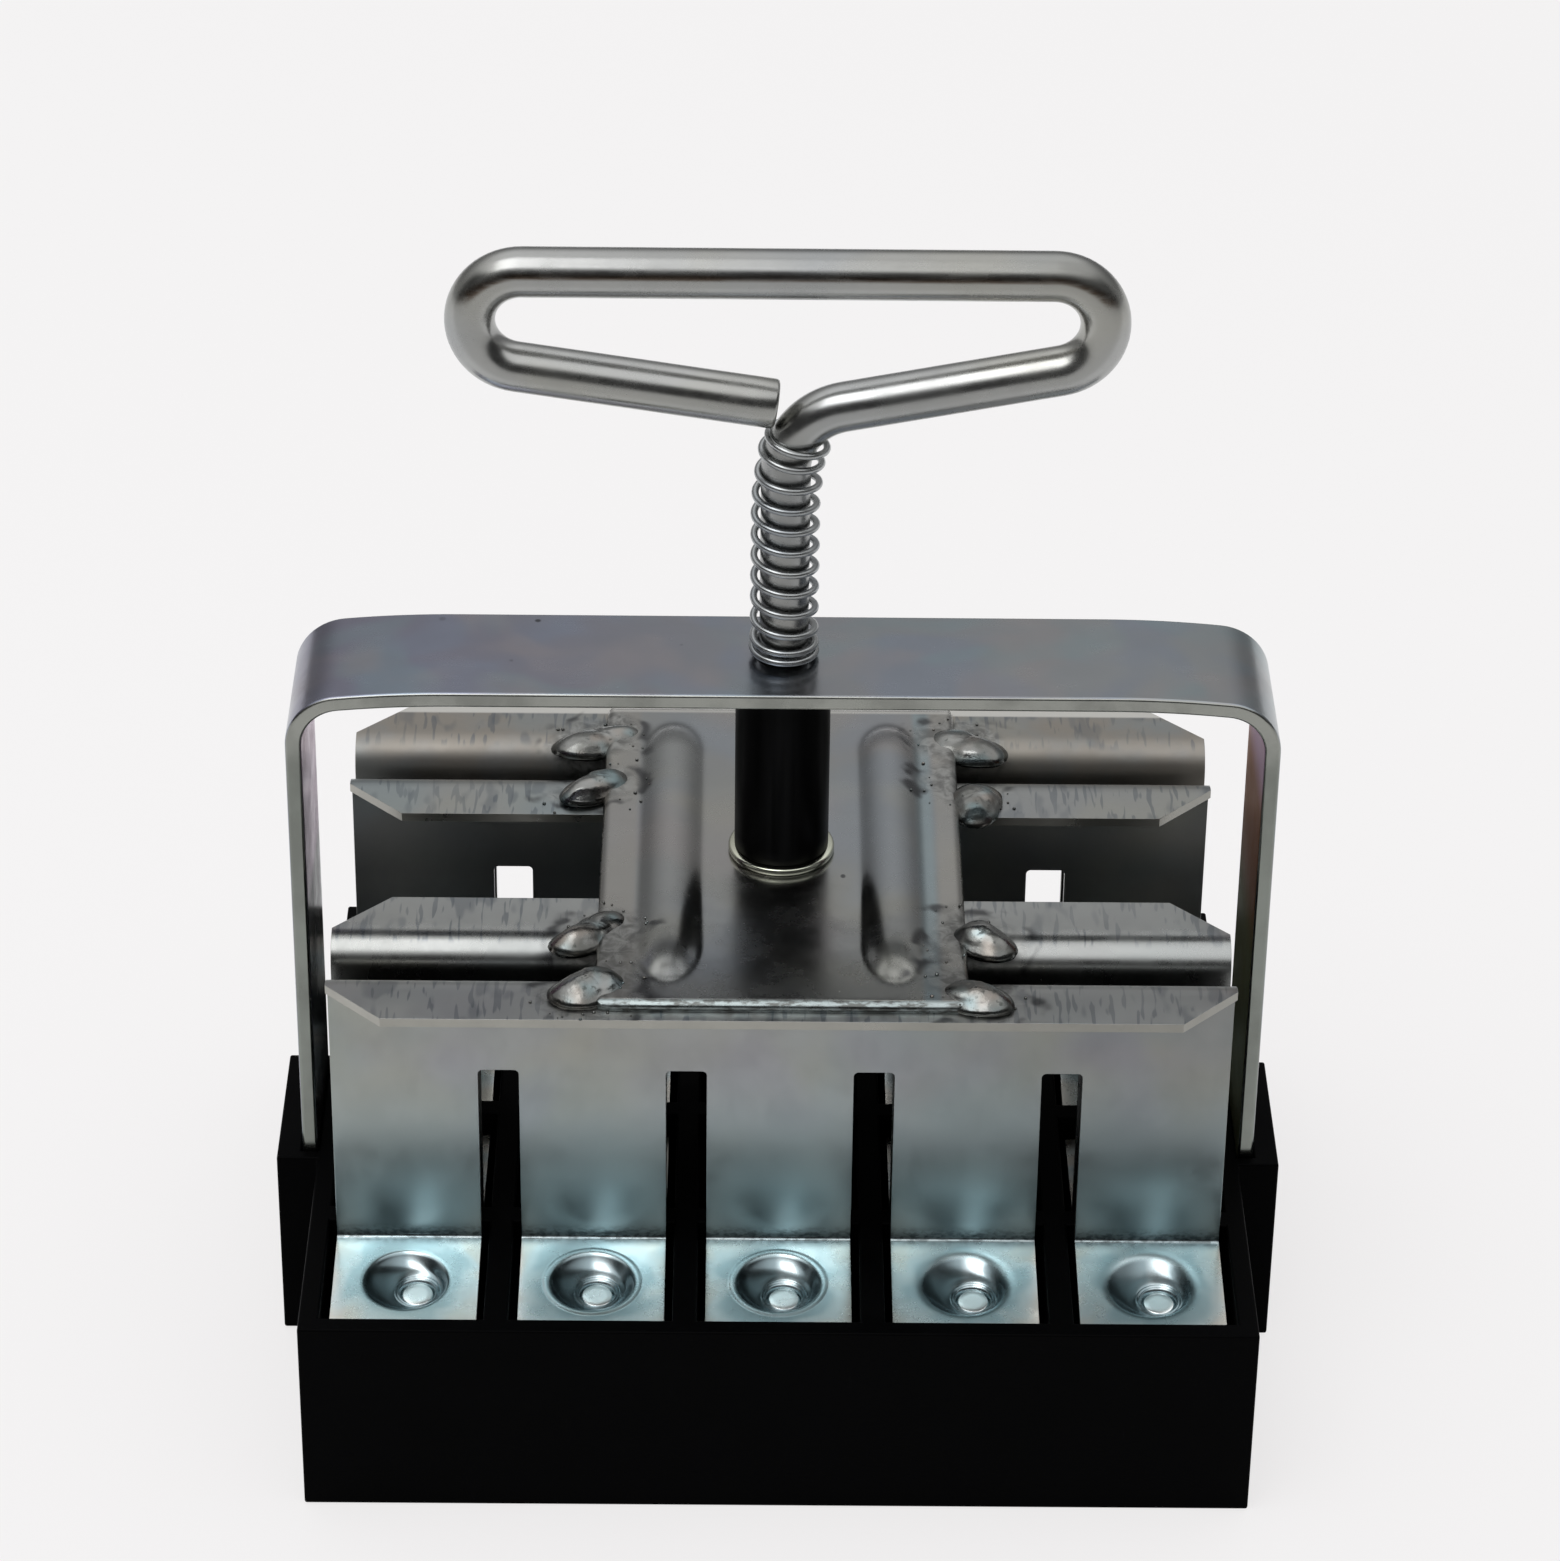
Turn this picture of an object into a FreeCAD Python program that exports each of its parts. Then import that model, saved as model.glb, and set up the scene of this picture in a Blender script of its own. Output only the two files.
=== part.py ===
"""Hand soil blocker: a moulded block of open cells, a strap hoop over it and a sprung pusher.

Millimetres, +Z up, +Y away from the user.  The origin is the middle of the block's bottom face.
"""
import FreeCAD, Part
import enum
import math
import os

import Sketcher
from FreeCAD import Placement, Rotation, Vector

# ---------------------------------------------------------------------------------------------
# Driving dimensions
# ---------------------------------------------------------------------------------------------
DRIVING = [
    # mould block
    ("columns", "5"),
    ("rows", "4"),
    ("cell", "20"),
    ("divider", "3"),
    ("outer_wall", "2.5"),
    ("block_height", "27"),
    ("block_corner", "1"),
    ("boss_cheek", "3.05"),
    ("boss_wall", "1.6"),
    ("boss_corner", "1.2"),
    ("socket_floor", "4"),
    ("socket_clearance", "0.15"),
    # strap hoop
    ("strap_thickness", "2"),
    ("strap_width", "19.5"),
    ("strap_top", "94.8"),
    ("strap_corner", "7"),
    ("shoulder_radius", "140"),
    ("shoulder_length", "13.5"),
    ("strap_hole_clearance", "0.1"),
    # rivets that hold the strap's legs in the block
    ("rivet_height", "15"),
    ("rivet_shank", "3.2"),
    ("rivet_head", "6"),
    ("rivet_head_depth", "1.4"),
    ("rivet_tail", "5"),
    ("rivet_tail_depth", "0.9"),
    ("rivet_clearance", "0.05"),
    # comb bars
    ("sheet", "1.2"),
    ("finger_clearance", "1"),
    ("comb_clearance", "0.8"),
    ("foot_clearance", "1.2"),
    ("comb_height", "39.6"),
    ("foot_recess", "1.1"),
    ("foot_bend", "0.6"),
    ("flange_depth", "11"),
    ("flange_bend", "4"),
    ("flange_chamfer", "7"),
    ("slot_length", "25.4"),
    ("slot_corner", "0.6"),
    # pressed dish in each foot, and the pin staked through its floor
    ("dish_diameter", "11.3"),
    ("dish_step_diameter", "6.6"),
    ("dish_step_depth", "1.2"),
    ("dish_floor_diameter", "4.6"),
    ("dish_depth", "2.6"),
    ("pin_shank", "2.4"),
    ("pin_clearance", "0.05"),
    ("pin_head", "4"),
    ("pin_head_height", "0.4"),
    ("pin_nose", "4.2"),
    ("pin_tip", "1.4"),
    ("pin_length", "4"),
    # bridge plate
    ("plate_thickness", "1.3"),
    ("plate_width", "45"),
    ("plate_setback", "1.9"),
    ("plate_corner", "1.5"),
    ("rib_spacing", "27.6"),
    ("rib_width", "7.6"),
    ("rib_height", "1.6"),
    ("rib_side", "0.3"),
    ("rib_foot", "0.8"),
    ("rib_margin", "4.8"),
    # bent rod with its loop handle
    ("rod_diameter", "6"),
    ("rod_tail", "2"),
    ("rod_weld_diameter", "10"),
    ("rod_weld_foot", "0.4"),
    ("rod_weld_height", "1.6"),
    ("neck_bend", "8.5"),
    ("grip_width", "80.9"),
    ("grip_bend", "6.25"),
    ("right_run_slope", "11.2"),
    ("left_run_slope", "8.7"),
    ("free_end_clearance", "0.1"),
    # sleeve, washer and spring on the rod
    ("sleeve_diameter", "11.7"),
    ("bore_clearance", "0.2"),
    ("stop_clearance", "0.1"),
    ("washer_diameter", "13.2"),
    ("washer_thickness", "1"),
    ("spring_wire", "0.9"),
    ("spring_bore_clearance", "0.3"),
    ("spring_length", "27.5"),
    ("spring_turns", "9.5"),
    ("spring_tuck", "1.5"),
    # weld beads between the bridge plate and the comb bars
    ("weld_reach", "3.8"),
    ("weld_length", "7"),
    ("weld_height", "2.5"),
    ("weld_sink", "0.5"),
    ("weld_overlap", "0.6"),
    ("front_weld_inset", "5.6"),
    ("rear_weld_inset", "1.2"),
]

# Sizes that follow from the driving dimensions
DERIVED = [
    ("pitch", "cell + divider"),
    ("block_x", "(columns * pitch - divider) / 2 + outer_wall"),
    ("block_y", "(rows * pitch - divider) / 2 + outer_wall"),
    ("cell_right", "outer_wall + cell - block_x"),
    ("cell_back", "outer_wall + cell - block_y"),
    ("cell_left", "outer_wall - block_x"),
    ("cell_front", "outer_wall - block_y"),
    ("strap_x", "block_x + strap_thickness"),
    ("strap_y", "strap_width / 2"),
    ("socket_x", "strap_x + socket_clearance"),
    ("socket_y", "strap_y + socket_clearance"),
    ("boss_x", "socket_x + boss_cheek"),
    ("boss_y", "socket_y + boss_wall"),
    ("strap_under", "strap_top - strap_thickness"),
    ("rod_radius", "rod_diameter / 2"),
    ("strap_hole", "rod_radius + strap_hole_clearance"),
    ("rivet_radius", "rivet_shank / 2"),
    ("rivet_head_radius", "rivet_head / 2"),
    ("rivet_tail_radius", "rivet_tail / 2"),
    ("rivet_head_x", "boss_x - rivet_head_depth"),
    ("cell_side", "block_x - outer_wall"),
    ("rivet_tail_x", "cell_side + rivet_tail_depth"),
    ("rivet_hole", "rivet_radius + rivet_clearance"),
    ("rivet_head_hole", "rivet_head_radius + rivet_clearance"),
    ("rivet_tail_hole", "rivet_tail_radius + rivet_clearance"),
    ("rivet_hole_z", "rivet_height + rivet_hole"),
    ("rivet_head_hole_z", "rivet_height + rivet_head_hole"),
    ("rivet_tail_hole_z", "rivet_height + rivet_tail_hole"),
    ("rivet_shank_z", "rivet_height + rivet_radius"),
    ("rivet_head_z", "rivet_height + rivet_head_radius"),
    ("rivet_tail_z", "rivet_height + rivet_tail_radius"),
    ("foot_top", "block_height - foot_recess"),
    ("foot_under", "foot_top - sheet"),
    ("foot_outer_bend", "foot_bend + sheet"),
    ("comb_top", "foot_top + comb_height"),
    ("flange_under", "comb_top - sheet"),
    ("flange_inner_bend", "flange_bend - sheet"),
    ("web_back", "divider / 2 + comb_clearance"),
    ("web_front", "web_back + sheet"),
    ("flange_front", "web_back + flange_depth"),
    ("chamfer_back", "flange_front - flange_chamfer"),
    ("foot_front", "divider / 2 + cell - foot_clearance"),
    ("finger_width", "cell - 2 * finger_clearance"),
    ("comb_x", "((columns - 1) * pitch + finger_width) / 2"),
    ("chamfer_x", "comb_x - flange_chamfer"),
    ("slot_left", "finger_width - comb_x"),
    ("slot_right", "pitch - comb_x"),
    ("slot_top", "foot_top + slot_length"),
    ("slot_bottom", "foot_under - dish_depth"),
    ("first_finger", "(1 - columns) * pitch / 2"),
    ("dish_y", "(divider + cell) / 2"),
    ("dish_radius", "dish_diameter / 2"),
    ("dish_step_radius", "dish_step_diameter / 2"),
    ("dish_floor_radius", "dish_floor_diameter / 2"),
    ("dish_step_z", "foot_top - dish_step_depth"),
    ("dish_floor_z", "foot_top - dish_depth"),
    ("dish_step_under", "dish_step_z - sheet"),
    ("dish_floor_under", "dish_floor_z - sheet"),
    ("pin_hole", "pin_shank / 2 + pin_clearance"),
    ("dish_outer", "first_finger + dish_radius"),
    ("dish_step", "first_finger + dish_step_radius"),
    ("dish_floor", "first_finger + dish_floor_radius"),
    ("dish_hole", "first_finger + pin_hole"),
    ("plate_x", "plate_width / 2"),
    ("outer_divider", "(rows / 2 - 1) * pitch"),
    ("plate_y", "outer_divider + flange_front - plate_setback"),
    ("plate_top", "comb_top + plate_thickness"),
    ("rib_right", "(rib_spacing + rib_width) / 2"),
    ("rib_left", "(rib_spacing - rib_width) / 2"),
    ("rib_y", "plate_y - rib_margin"),
    ("rib_radius", "rib_width / 2"),
    ("rib_rounding", "rib_height - rib_side"),
    ("groove_right", "rib_right - plate_thickness"),
    ("groove_left", "rib_left + plate_thickness"),
    ("groove_y", "rib_y - plate_thickness"),
    ("groove_radius", "rib_radius - plate_thickness"),
    ("bore", "rod_radius + bore_clearance"),
    ("rod_bottom", "comb_top - rod_tail"),
    ("neck_start", "strap_top + spring_length - spring_tuck"),
    ("right_turn", "right_run_slope * 1 deg"),
    ("left_turn", "left_run_slope * 1 deg"),
    ("neck_height", "neck_start + neck_bend * tan(45 deg - right_turn / 2)"),
    ("grip_end_x", "grip_width / 2 - rod_radius - grip_bend"),
    ("right_low_x", "grip_end_x + grip_bend * sin(right_turn)"),
    ("right_low_z", "neck_height + right_low_x * tan(right_turn)"),
    ("grip_end_z", "right_low_z + grip_bend * cos(right_turn)"),
    ("free_end_drop", "grip_end_z - neck_start"),
    ("free_end_reach", "(grip_end_x + neck_bend) * cos(left_turn) + free_end_drop * sin(left_turn)"),
    ("free_end_height", "free_end_drop * cos(left_turn) - (grip_end_x + neck_bend) * sin(left_turn)"
                        " - grip_bend - rod_radius"),
    ("free_end_stop", "neck_bend + rod_radius + free_end_clearance"),
    ("free_end_short", "sqrt(max(0; free_end_stop ^ 2 - free_end_height ^ 2))"),
    ("left_run", "free_end_reach - free_end_short"),
    ("washer_top", "plate_top + washer_thickness"),
    ("sleeve_top", "strap_under - stop_clearance"),
    ("spring_radius", "rod_radius + spring_bore_clearance + spring_wire / 2"),
    ("spring_wire_radius", "spring_wire / 2"),
    ("spring_start", "strap_top + spring_wire / 2"),
    ("spring_rise", "spring_length - spring_wire"),
    ("weld_x", "plate_x + weld_overlap"),
    ("weld_z", "comb_top - weld_sink"),
]

doc = FreeCAD.newDocument("SoilBlocker")
sizes = doc.addObject("Spreadsheet::Sheet", "Sizes")


def fill_sheet():
    """One row for each size: its name, and beside it the number or formula, with the name as alias."""
    lines = [(name, text) for name, text in DRIVING]
    lines += [(name, "=" + formula) for name, formula in DERIVED]
    for row, (name, text) in enumerate(lines, start=1):
        sizes.set(f"A{row}", name)
        sizes.set(f"B{row}", text)
        sizes.setAlias(f"B{row}", name)
    doc.recompute()


def amount(term):
    """Value of a named size; a minus sign turns it round, and "0" is nought."""
    if term == "0":
        return 0.0
    if term.startswith("-"):
        return -amount(term[1:])
    return float(getattr(sizes, term))


def bound(term):
    """The same term as an expression of the sheet."""
    return "-Sizes." + term[1:] if term.startswith("-") else "Sizes." + term


# ---------------------------------------------------------------------------------------------
# Sketches
# ---------------------------------------------------------------------------------------------
ORIGIN_POINT = (-1, 1)
NEAR = 1e-4
EVEN_SPACING = -1.0
LEAST_CUT = 1e-6
FULL_TURN, HALF_TURN = 360, 180


class Axis(enum.IntEnum):
    """A sketch's own axes, by the numbers that its constraints know them by."""
    LEVEL = -1
    UPRIGHT = -2


def new_body(label):
    body = doc.addObject("PartDesign::Body", label)
    body.Label = label
    return body


def origin_part(body, role):
    return next(feature for feature in body.Origin.OriginFeatures if feature.Role == role)


def new_sketch(body, name, role, offset=None):
    """Sketch on an origin plane of its own body, moved along the plane's normal by a named size."""
    sketch = body.newObject("Sketcher::SketchObject", name)
    sketch.AttachmentSupport = (origin_part(body, role), [""])
    sketch.MapMode = "FlatFace"
    if offset is not None:
        sketch.setExpression("AttachmentOffset.Base.z", bound(offset))
    return sketch


def bind(sketch, kind, *where, term):
    """Dimension whose value is a named size."""
    index = sketch.addConstraint(Sketcher.Constraint(kind, *where, amount(term)))
    sketch.setExpression(f"Constraints[{index}]", bound(term))


def place_point(sketch, curve, end, across=None, up=None):
    """Hold one point of a curve at named distances from the origin."""
    if across == "0":
        sketch.addConstraint(Sketcher.Constraint("PointOnObject", curve, end, int(Axis.UPRIGHT)))
    elif across is not None:
        bind(sketch, "DistanceX", *ORIGIN_POINT, curve, end, term=across)
    if up == "0":
        sketch.addConstraint(Sketcher.Constraint("PointOnObject", curve, end, int(Axis.LEVEL)))
    elif up is not None:
        bind(sketch, "DistanceY", *ORIGIN_POINT, curve, end, term=up)


def add_line(sketch, start, end, construction=False):
    return sketch.addGeometry(Part.LineSegment(start, end), construction)


def add_arc(sketch, centre, start, end, turn):
    """Arc from start to end about centre; turn is +1 for anticlockwise and -1 for clockwise.

    Returns the curve and the numbers of its points at start and end.
    """
    first, last = (start, end) if turn > 0 else (end, start)
    angles = [math.atan2(point.y - centre.y, point.x - centre.x) for point in (first, last)]
    if angles[1] < angles[0]:
        angles[1] += 2 * math.pi
    circle = Part.Circle(centre, Vector(0, 0, 1), (start - centre).Length)
    curve = sketch.addGeometry(Part.ArcOfCircle(circle, *angles), False)
    return (curve, 1, 2) if turn > 0 else (curve, 2, 1)


def polygon(sketch, points):
    """Closed outline of straight sides through named points (across, up)."""
    places = [Vector(amount(across), amount(up), 0) for across, up in points]
    sides = [add_line(sketch, place, places[(i + 1) % len(places)]) for i, place in enumerate(places)]
    for i, side in enumerate(sides):
        sketch.addConstraint(Sketcher.Constraint("Coincident", side, 2, sides[(i + 1) % len(sides)], 1))
        place_point(sketch, side, 1, *points[i])


def outline(sketch, corners):
    """Closed anticlockwise outline of level and upright sides.

    A corner is (across, up), or (across, up, radius) where it is rounded.
    """
    count = len(corners)
    places = [Vector(amount(corner[0]), amount(corner[1]), 0) for corner in corners]
    radii = [amount(corner[2]) if len(corner) > 2 else 0.0 for corner in corners]
    ways = [(places[(i + 1) % count] - places[i]).normalize() for i in range(count)]
    sides = []
    for i in range(count):
        start = places[i] + ways[i] * radii[i]
        end = places[(i + 1) % count] - ways[i] * radii[(i + 1) % count]
        side = add_line(sketch, start, end)
        sides.append(side)
        if abs(ways[i].x) > abs(ways[i].y):
            sketch.addConstraint(Sketcher.Constraint("Horizontal", side))
            place_point(sketch, side, 1, up=corners[i][1])
        else:
            sketch.addConstraint(Sketcher.Constraint("Vertical", side))
            place_point(sketch, side, 1, across=corners[i][0])
    for i in range(count):
        before, after = sides[i - 1], sides[i]
        if radii[i] == 0:
            sketch.addConstraint(Sketcher.Constraint("Coincident", before, 2, after, 1))
            continue
        turn = 1 if ways[i - 1].cross(ways[i]).z > 0 else -1
        centre = places[i] + (ways[i] - ways[i - 1]) * radii[i]
        start, end = places[i] - ways[i - 1] * radii[i], places[i] + ways[i] * radii[i]
        arc, first, last = add_arc(sketch, centre, start, end, turn)
        sketch.addConstraint(Sketcher.Constraint("Tangent", before, 2, arc, first))
        sketch.addConstraint(Sketcher.Constraint("Tangent", arc, last, after, 1))
        bind(sketch, "Radius", arc, term=corners[i][2])


def rectangle(sketch, left, right, bottom, top, radius=None):
    corners = [(left, bottom), (right, bottom), (right, top), (left, top)]
    outline(sketch, [corner + (radius,) for corner in corners] if radius else corners)


def circle(sketch, across, up, radius):
    centre = Vector(amount(across), amount(up), 0)
    curve = sketch.addGeometry(Part.Circle(centre, Vector(0, 0, 1), amount(radius)), False)
    place_point(sketch, curve, 3, across, up)
    bind(sketch, "Radius", curve, term=radius)


def axis_line(sketch, start, end):
    """Construction line between two named points, for features that turn about it."""
    line = add_line(sketch, *[Vector(amount(x), amount(y), 0) for x, y in (start, end)], True)
    place_point(sketch, line, 1, *start)
    place_point(sketch, line, 2, *end)


# ---------------------------------------------------------------------------------------------
# Features
# ---------------------------------------------------------------------------------------------
def pad(body, sketch, length, symmetric=False):
    feature = body.newObject("PartDesign::Pad", sketch.Name + "Pad")
    feature.Profile = sketch
    feature.setExpression("Length", length)
    feature.SideType = "Symmetric" if symmetric else "One side"
    doc.recompute()
    return feature


def checked_cut(feature):
    """A cut has to take something away from the solid before it."""
    doc.recompute()
    if not feature.Shape.Volume < feature.BaseFeature.Shape.Volume - LEAST_CUT:
        raise RuntimeError(f"{feature.Name} cuts nothing")
    return feature


def pocket(body, sketch, length=None, symmetric=False, reverse=False):
    """Cut of a given length, or right through the body."""
    feature = body.newObject("PartDesign::Pocket", sketch.Name + "Pocket")
    feature.Profile = sketch
    feature.SideType = "Symmetric" if symmetric else "One side"
    feature.Reversed = reverse
    if length is None:
        feature.Type = "ThroughAll"
    else:
        feature.setExpression("Length", length)
    return checked_cut(feature)


def turned(body, kind, sketch):
    """Revolution or Groove about the sketch's own construction line."""
    feature = body.newObject("PartDesign::" + kind, sketch.Name + kind)
    feature.Profile = sketch
    feature.ReferenceAxis = (sketch, ["Axis0"])
    feature.Angle = FULL_TURN
    return checked_cut(feature) if kind == "Groove" else feature


def mirrored(body, features, name):
    feature = body.newObject("PartDesign::Mirrored", name)
    feature.Originals = features
    feature.MirrorPlane = (origin_part(body, "YZ_Plane"), [""])
    body.Tip = feature
    doc.recompute()
    return feature


def repeated(body, features, name, columns, rows=None):
    """Copies one pitch apart along X, and along Y too where rows are given."""
    feature = body.newObject("PartDesign::LinearPattern", name)
    feature.Originals = features
    feature.Direction = (origin_part(body, "X_Axis"), [""])
    feature.Mode = "Spacing"
    feature.setExpression("Offset", "Sizes.pitch")
    feature.setExpression("Occurrences", columns)
    if rows:
        feature.Direction2 = (origin_part(body, "Y_Axis"), [""])
        feature.Mode2 = "Spacing"
        feature.setExpression("Offset2", "Sizes.pitch")
        feature.setExpression("Occurrences2", rows)
        doc.recompute()
        feature.Spacings2 = [EVEN_SPACING] * (feature.Occurrences2 - 1)
    body.Tip = feature
    doc.recompute()
    return feature


def rounded(body, name, radius, test):
    """Fillet on the edges whose every vertex passes the test."""
    base = body.Tip
    edges = [f"Edge{number}" for number, edge in enumerate(base.Shape.Edges, start=1)
             if all(test(vertex.Point) for vertex in edge.Vertexes)]
    feature = body.newObject("PartDesign::Fillet", name)
    feature.Base = (base, edges)
    feature.setExpression("Radius", "Sizes." + radius)
    doc.recompute()
    return feature


def primitive(kind, label, **properties):
    """Part primitive whose properties follow expressions of the sheet."""
    thing = doc.addObject("Part::" + kind, label)
    thing.Label = label
    for name, expression in properties.items():
        thing.setExpression(name.replace("_", "."), expression)
    return thing


def boolean(kind, label, base, tool):
    thing = doc.addObject("Part::" + kind, label)
    thing.Label = label
    thing.Base, thing.Tool = base, tool
    return thing


# ---------------------------------------------------------------------------------------------
# Sub-parts that stand still
# ---------------------------------------------------------------------------------------------
def make_mould_block():
    """Grid of open cells with a solid boss on each side, socketed for the strap's leg."""
    body = new_body("mould_block")
    base = new_sketch(body, "BlockOutline", "XY_Plane")
    rectangle(base, "-block_x", "block_x", "-block_y", "block_y", "block_corner")
    pad(body, base, "Sizes.block_height")

    boss = new_sketch(body, "BossOutline", "XY_Plane")
    outline(boss, [("cell_side", "-boss_y"), ("boss_x", "-boss_y", "boss_corner"),
                   ("boss_x", "boss_y", "boss_corner"), ("cell_side", "boss_y")])
    boss_pad = pad(body, boss, "Sizes.block_height")
    mirrored(body, [boss_pad], "BossMirror")

    cell = new_sketch(body, "CellOutline", "XY_Plane", "block_height")
    rectangle(cell, "cell_left", "cell_right", "cell_front", "cell_back")
    cell_pocket = pocket(body, cell)
    repeated(body, [cell_pocket], "CellGrid", "Sizes.columns", "Sizes.rows")

    socket = new_sketch(body, "SocketOutline", "XY_Plane", "block_height")
    rectangle(socket, "block_x", "socket_x", "-socket_y", "socket_y")
    socket_pocket = pocket(body, socket, "Sizes.block_height - Sizes.socket_floor")

    rivet_hole = new_sketch(body, "RivetHole", "XZ_Plane")
    axis_line(rivet_hole, ("cell_side", "rivet_height"), ("boss_x", "rivet_height"))
    rivet_half_profile(rivet_hole, "rivet_hole_z", "rivet_head_hole_z", "rivet_tail_hole_z")
    rivet_groove = turned(body, "Groove", rivet_hole)
    mirrored(body, [socket_pocket, rivet_groove], "SocketMirror")
    return body


def rivet_half_profile(sketch, shank, head, tail):
    """Half section of a rivet along X, flush at the boss's cheek and at the cell's wall."""
    polygon(sketch, [("cell_side", "rivet_height"), ("boss_x", "rivet_height"), ("boss_x", head),
                     ("rivet_head_x", shank), ("rivet_tail_x", shank), ("cell_side", tail)])


def make_strap_rivet(side, label):
    body = new_body(label)
    profile = new_sketch(body, label + "_profile", "XZ_Plane")
    axis_line(profile, ("cell_side", "rivet_height"), ("boss_x", "rivet_height"))
    rivet_half_profile(profile, "rivet_shank_z", "rivet_head_z", "rivet_tail_z")
    turned(body, "Revolution", profile)
    if side < 0:
        body.Placement = Placement(Vector(), Rotation(Vector(0, 0, 1), HALF_TURN))
    return body


def make_strap():
    """Flat bar hoop; its top sinks a little through a soft shoulder before each corner."""
    body = new_body("strap")
    hoop = new_sketch(body, "HoopProfile", "XZ_Plane")
    hoop_outline(hoop)
    pad(body, hoop, "Sizes.strap_width", symmetric=True)

    rod_hole = new_sketch(body, "StrapRodHole", "XY_Plane", "strap_top")
    circle(rod_hole, "0", "0", "strap_hole")
    pocket(body, rod_hole, "Sizes.strap_thickness")

    rivet_hole = new_sketch(body, "StrapRivetHole", "YZ_Plane")
    circle(rivet_hole, "0", "rivet_height", "rivet_hole")
    pocket(body, rivet_hole, symmetric=True)
    return body


def hoop_outline(sketch):
    """Section of the hoop: outer line, leg ends and the inner line one thickness inside it."""
    top, half, thickness = amount("strap_top"), amount("strap_x"), amount("strap_thickness")
    corner, shoulder = amount("strap_corner"), amount("shoulder_radius")
    foot = amount("socket_floor")
    shoulder_x = half - corner - amount("shoulder_length")
    shoulder_centre = Vector(shoulder_x, top - shoulder, 0)
    drop = math.sqrt((shoulder - corner) ** 2 - amount("shoulder_length") ** 2)
    corner_centre = Vector(half - corner, shoulder_centre.y + drop, 0)
    meeting = (corner_centre - shoulder_centre).normalize()

    def side_of_hoop(inset, mirror):
        """Crown end, shoulder arc, corner arc and leg of one half, inset from the outer line."""
        def flip(point):
            return Vector(-point.x, point.y, 0) if mirror else point
        turn = 1 if mirror else -1
        crown_end = flip(shoulder_centre + Vector(0, shoulder - inset, 0))
        joint = flip(shoulder_centre + meeting * (shoulder - inset))
        leg_top = flip(corner_centre + Vector(corner - inset, 0, 0))
        leg_foot = flip(Vector(half - inset, foot, 0))
        shoulder_arc = add_arc(sketch, flip(shoulder_centre), crown_end, joint, turn)
        corner_arc = add_arc(sketch, flip(corner_centre), joint, leg_top, turn)
        leg = add_line(sketch, leg_top, leg_foot)
        return crown_end, shoulder_arc, corner_arc, leg

    legs, crowns, arcs = {}, {}, {}
    for inset in (0.0, thickness):
        right = side_of_hoop(inset, False)
        left = side_of_hoop(inset, True)
        crown = add_line(sketch, left[0], right[0])
        crowns[inset] = crown
        for crown_point, half_hoop in ((2, right), (1, left)):
            _, shoulder_arc, corner_arc, leg = half_hoop
            joins = [(crown, crown_point) + shoulder_arc[:2],
                     (shoulder_arc[0], shoulder_arc[2]) + corner_arc[:2],
                     (corner_arc[0], corner_arc[2], leg, 1)]
            for join in joins:
                sketch.addConstraint(Sketcher.Constraint("Tangent", *join))
            sketch.addConstraint(Sketcher.Constraint("Vertical", leg))
            place_point(sketch, leg, 2, up="socket_floor")
        legs[inset] = (left[3], right[3])
        arcs[inset] = (left[1:3], right[1:3])

    sketch.addConstraint(Sketcher.Constraint("Horizontal", crowns[0.0]))
    place_point(sketch, crowns[0.0], 1, up="strap_top")
    for leg, across in zip(legs[0.0], ("-strap_x", "strap_x")):
        place_point(sketch, leg, 2, across=across)
    for leg, across in zip(legs[thickness], ("-block_x", "block_x")):
        place_point(sketch, leg, 2, across=across)
    for outer, inner in zip(arcs[0.0], arcs[thickness]):
        bind(sketch, "Radius", outer[0][0], term="shoulder_radius")
        bind(sketch, "Radius", outer[1][0], term="strap_corner")
        for outer_arc, inner_arc in zip(outer, inner):
            sketch.addConstraint(Sketcher.Constraint("Coincident", outer_arc[0], 3, inner_arc[0], 3))
        bind(sketch, "DistanceX", outer[0][0], 3, outer[1][0], 3,
             term="shoulder_length" if outer is arcs[0.0][1] else "-shoulder_length")
    for outer_leg, inner_leg in zip(legs[0.0], legs[thickness]):
        leg_end = add_line(sketch, Vector(0, 0, 0), Vector(1, 0, 0))
        sketch.addConstraint(Sketcher.Constraint("Coincident", leg_end, 1, outer_leg, 2))
        sketch.addConstraint(Sketcher.Constraint("Coincident", leg_end, 2, inner_leg, 2))


def make_spring():
    """Compression spring on the rod, between the strap and the rod's bend."""
    body = new_body("spring")
    wire = new_sketch(body, "SpringWire", "XZ_Plane")
    circle(wire, "spring_radius", "spring_start", "spring_wire_radius")
    coil = body.newObject("PartDesign::AdditiveHelix", "SpringCoil")
    coil.Profile = wire
    coil.ReferenceAxis = (wire, ["V_Axis"])
    coil.Mode = "height-turns-angle"
    coil.setExpression("Height", "Sizes.spring_rise")
    coil.setExpression("Turns", "Sizes.spring_turns")
    return body


# ---------------------------------------------------------------------------------------------
# Sub-parts of the pusher
# ---------------------------------------------------------------------------------------------
def comb_place(number):
    """Combs stand in pairs, back to back over a divider; even ones are turned round."""
    pair = (number - 1) // 2
    middle = (2 * pair + 1 - amount("rows") / 2) * amount("pitch")
    angle = HALF_TURN if number % 2 == 0 else 0
    return Placement(Vector(0, middle, 0), Rotation(Vector(0, 0, 1), angle))


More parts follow.
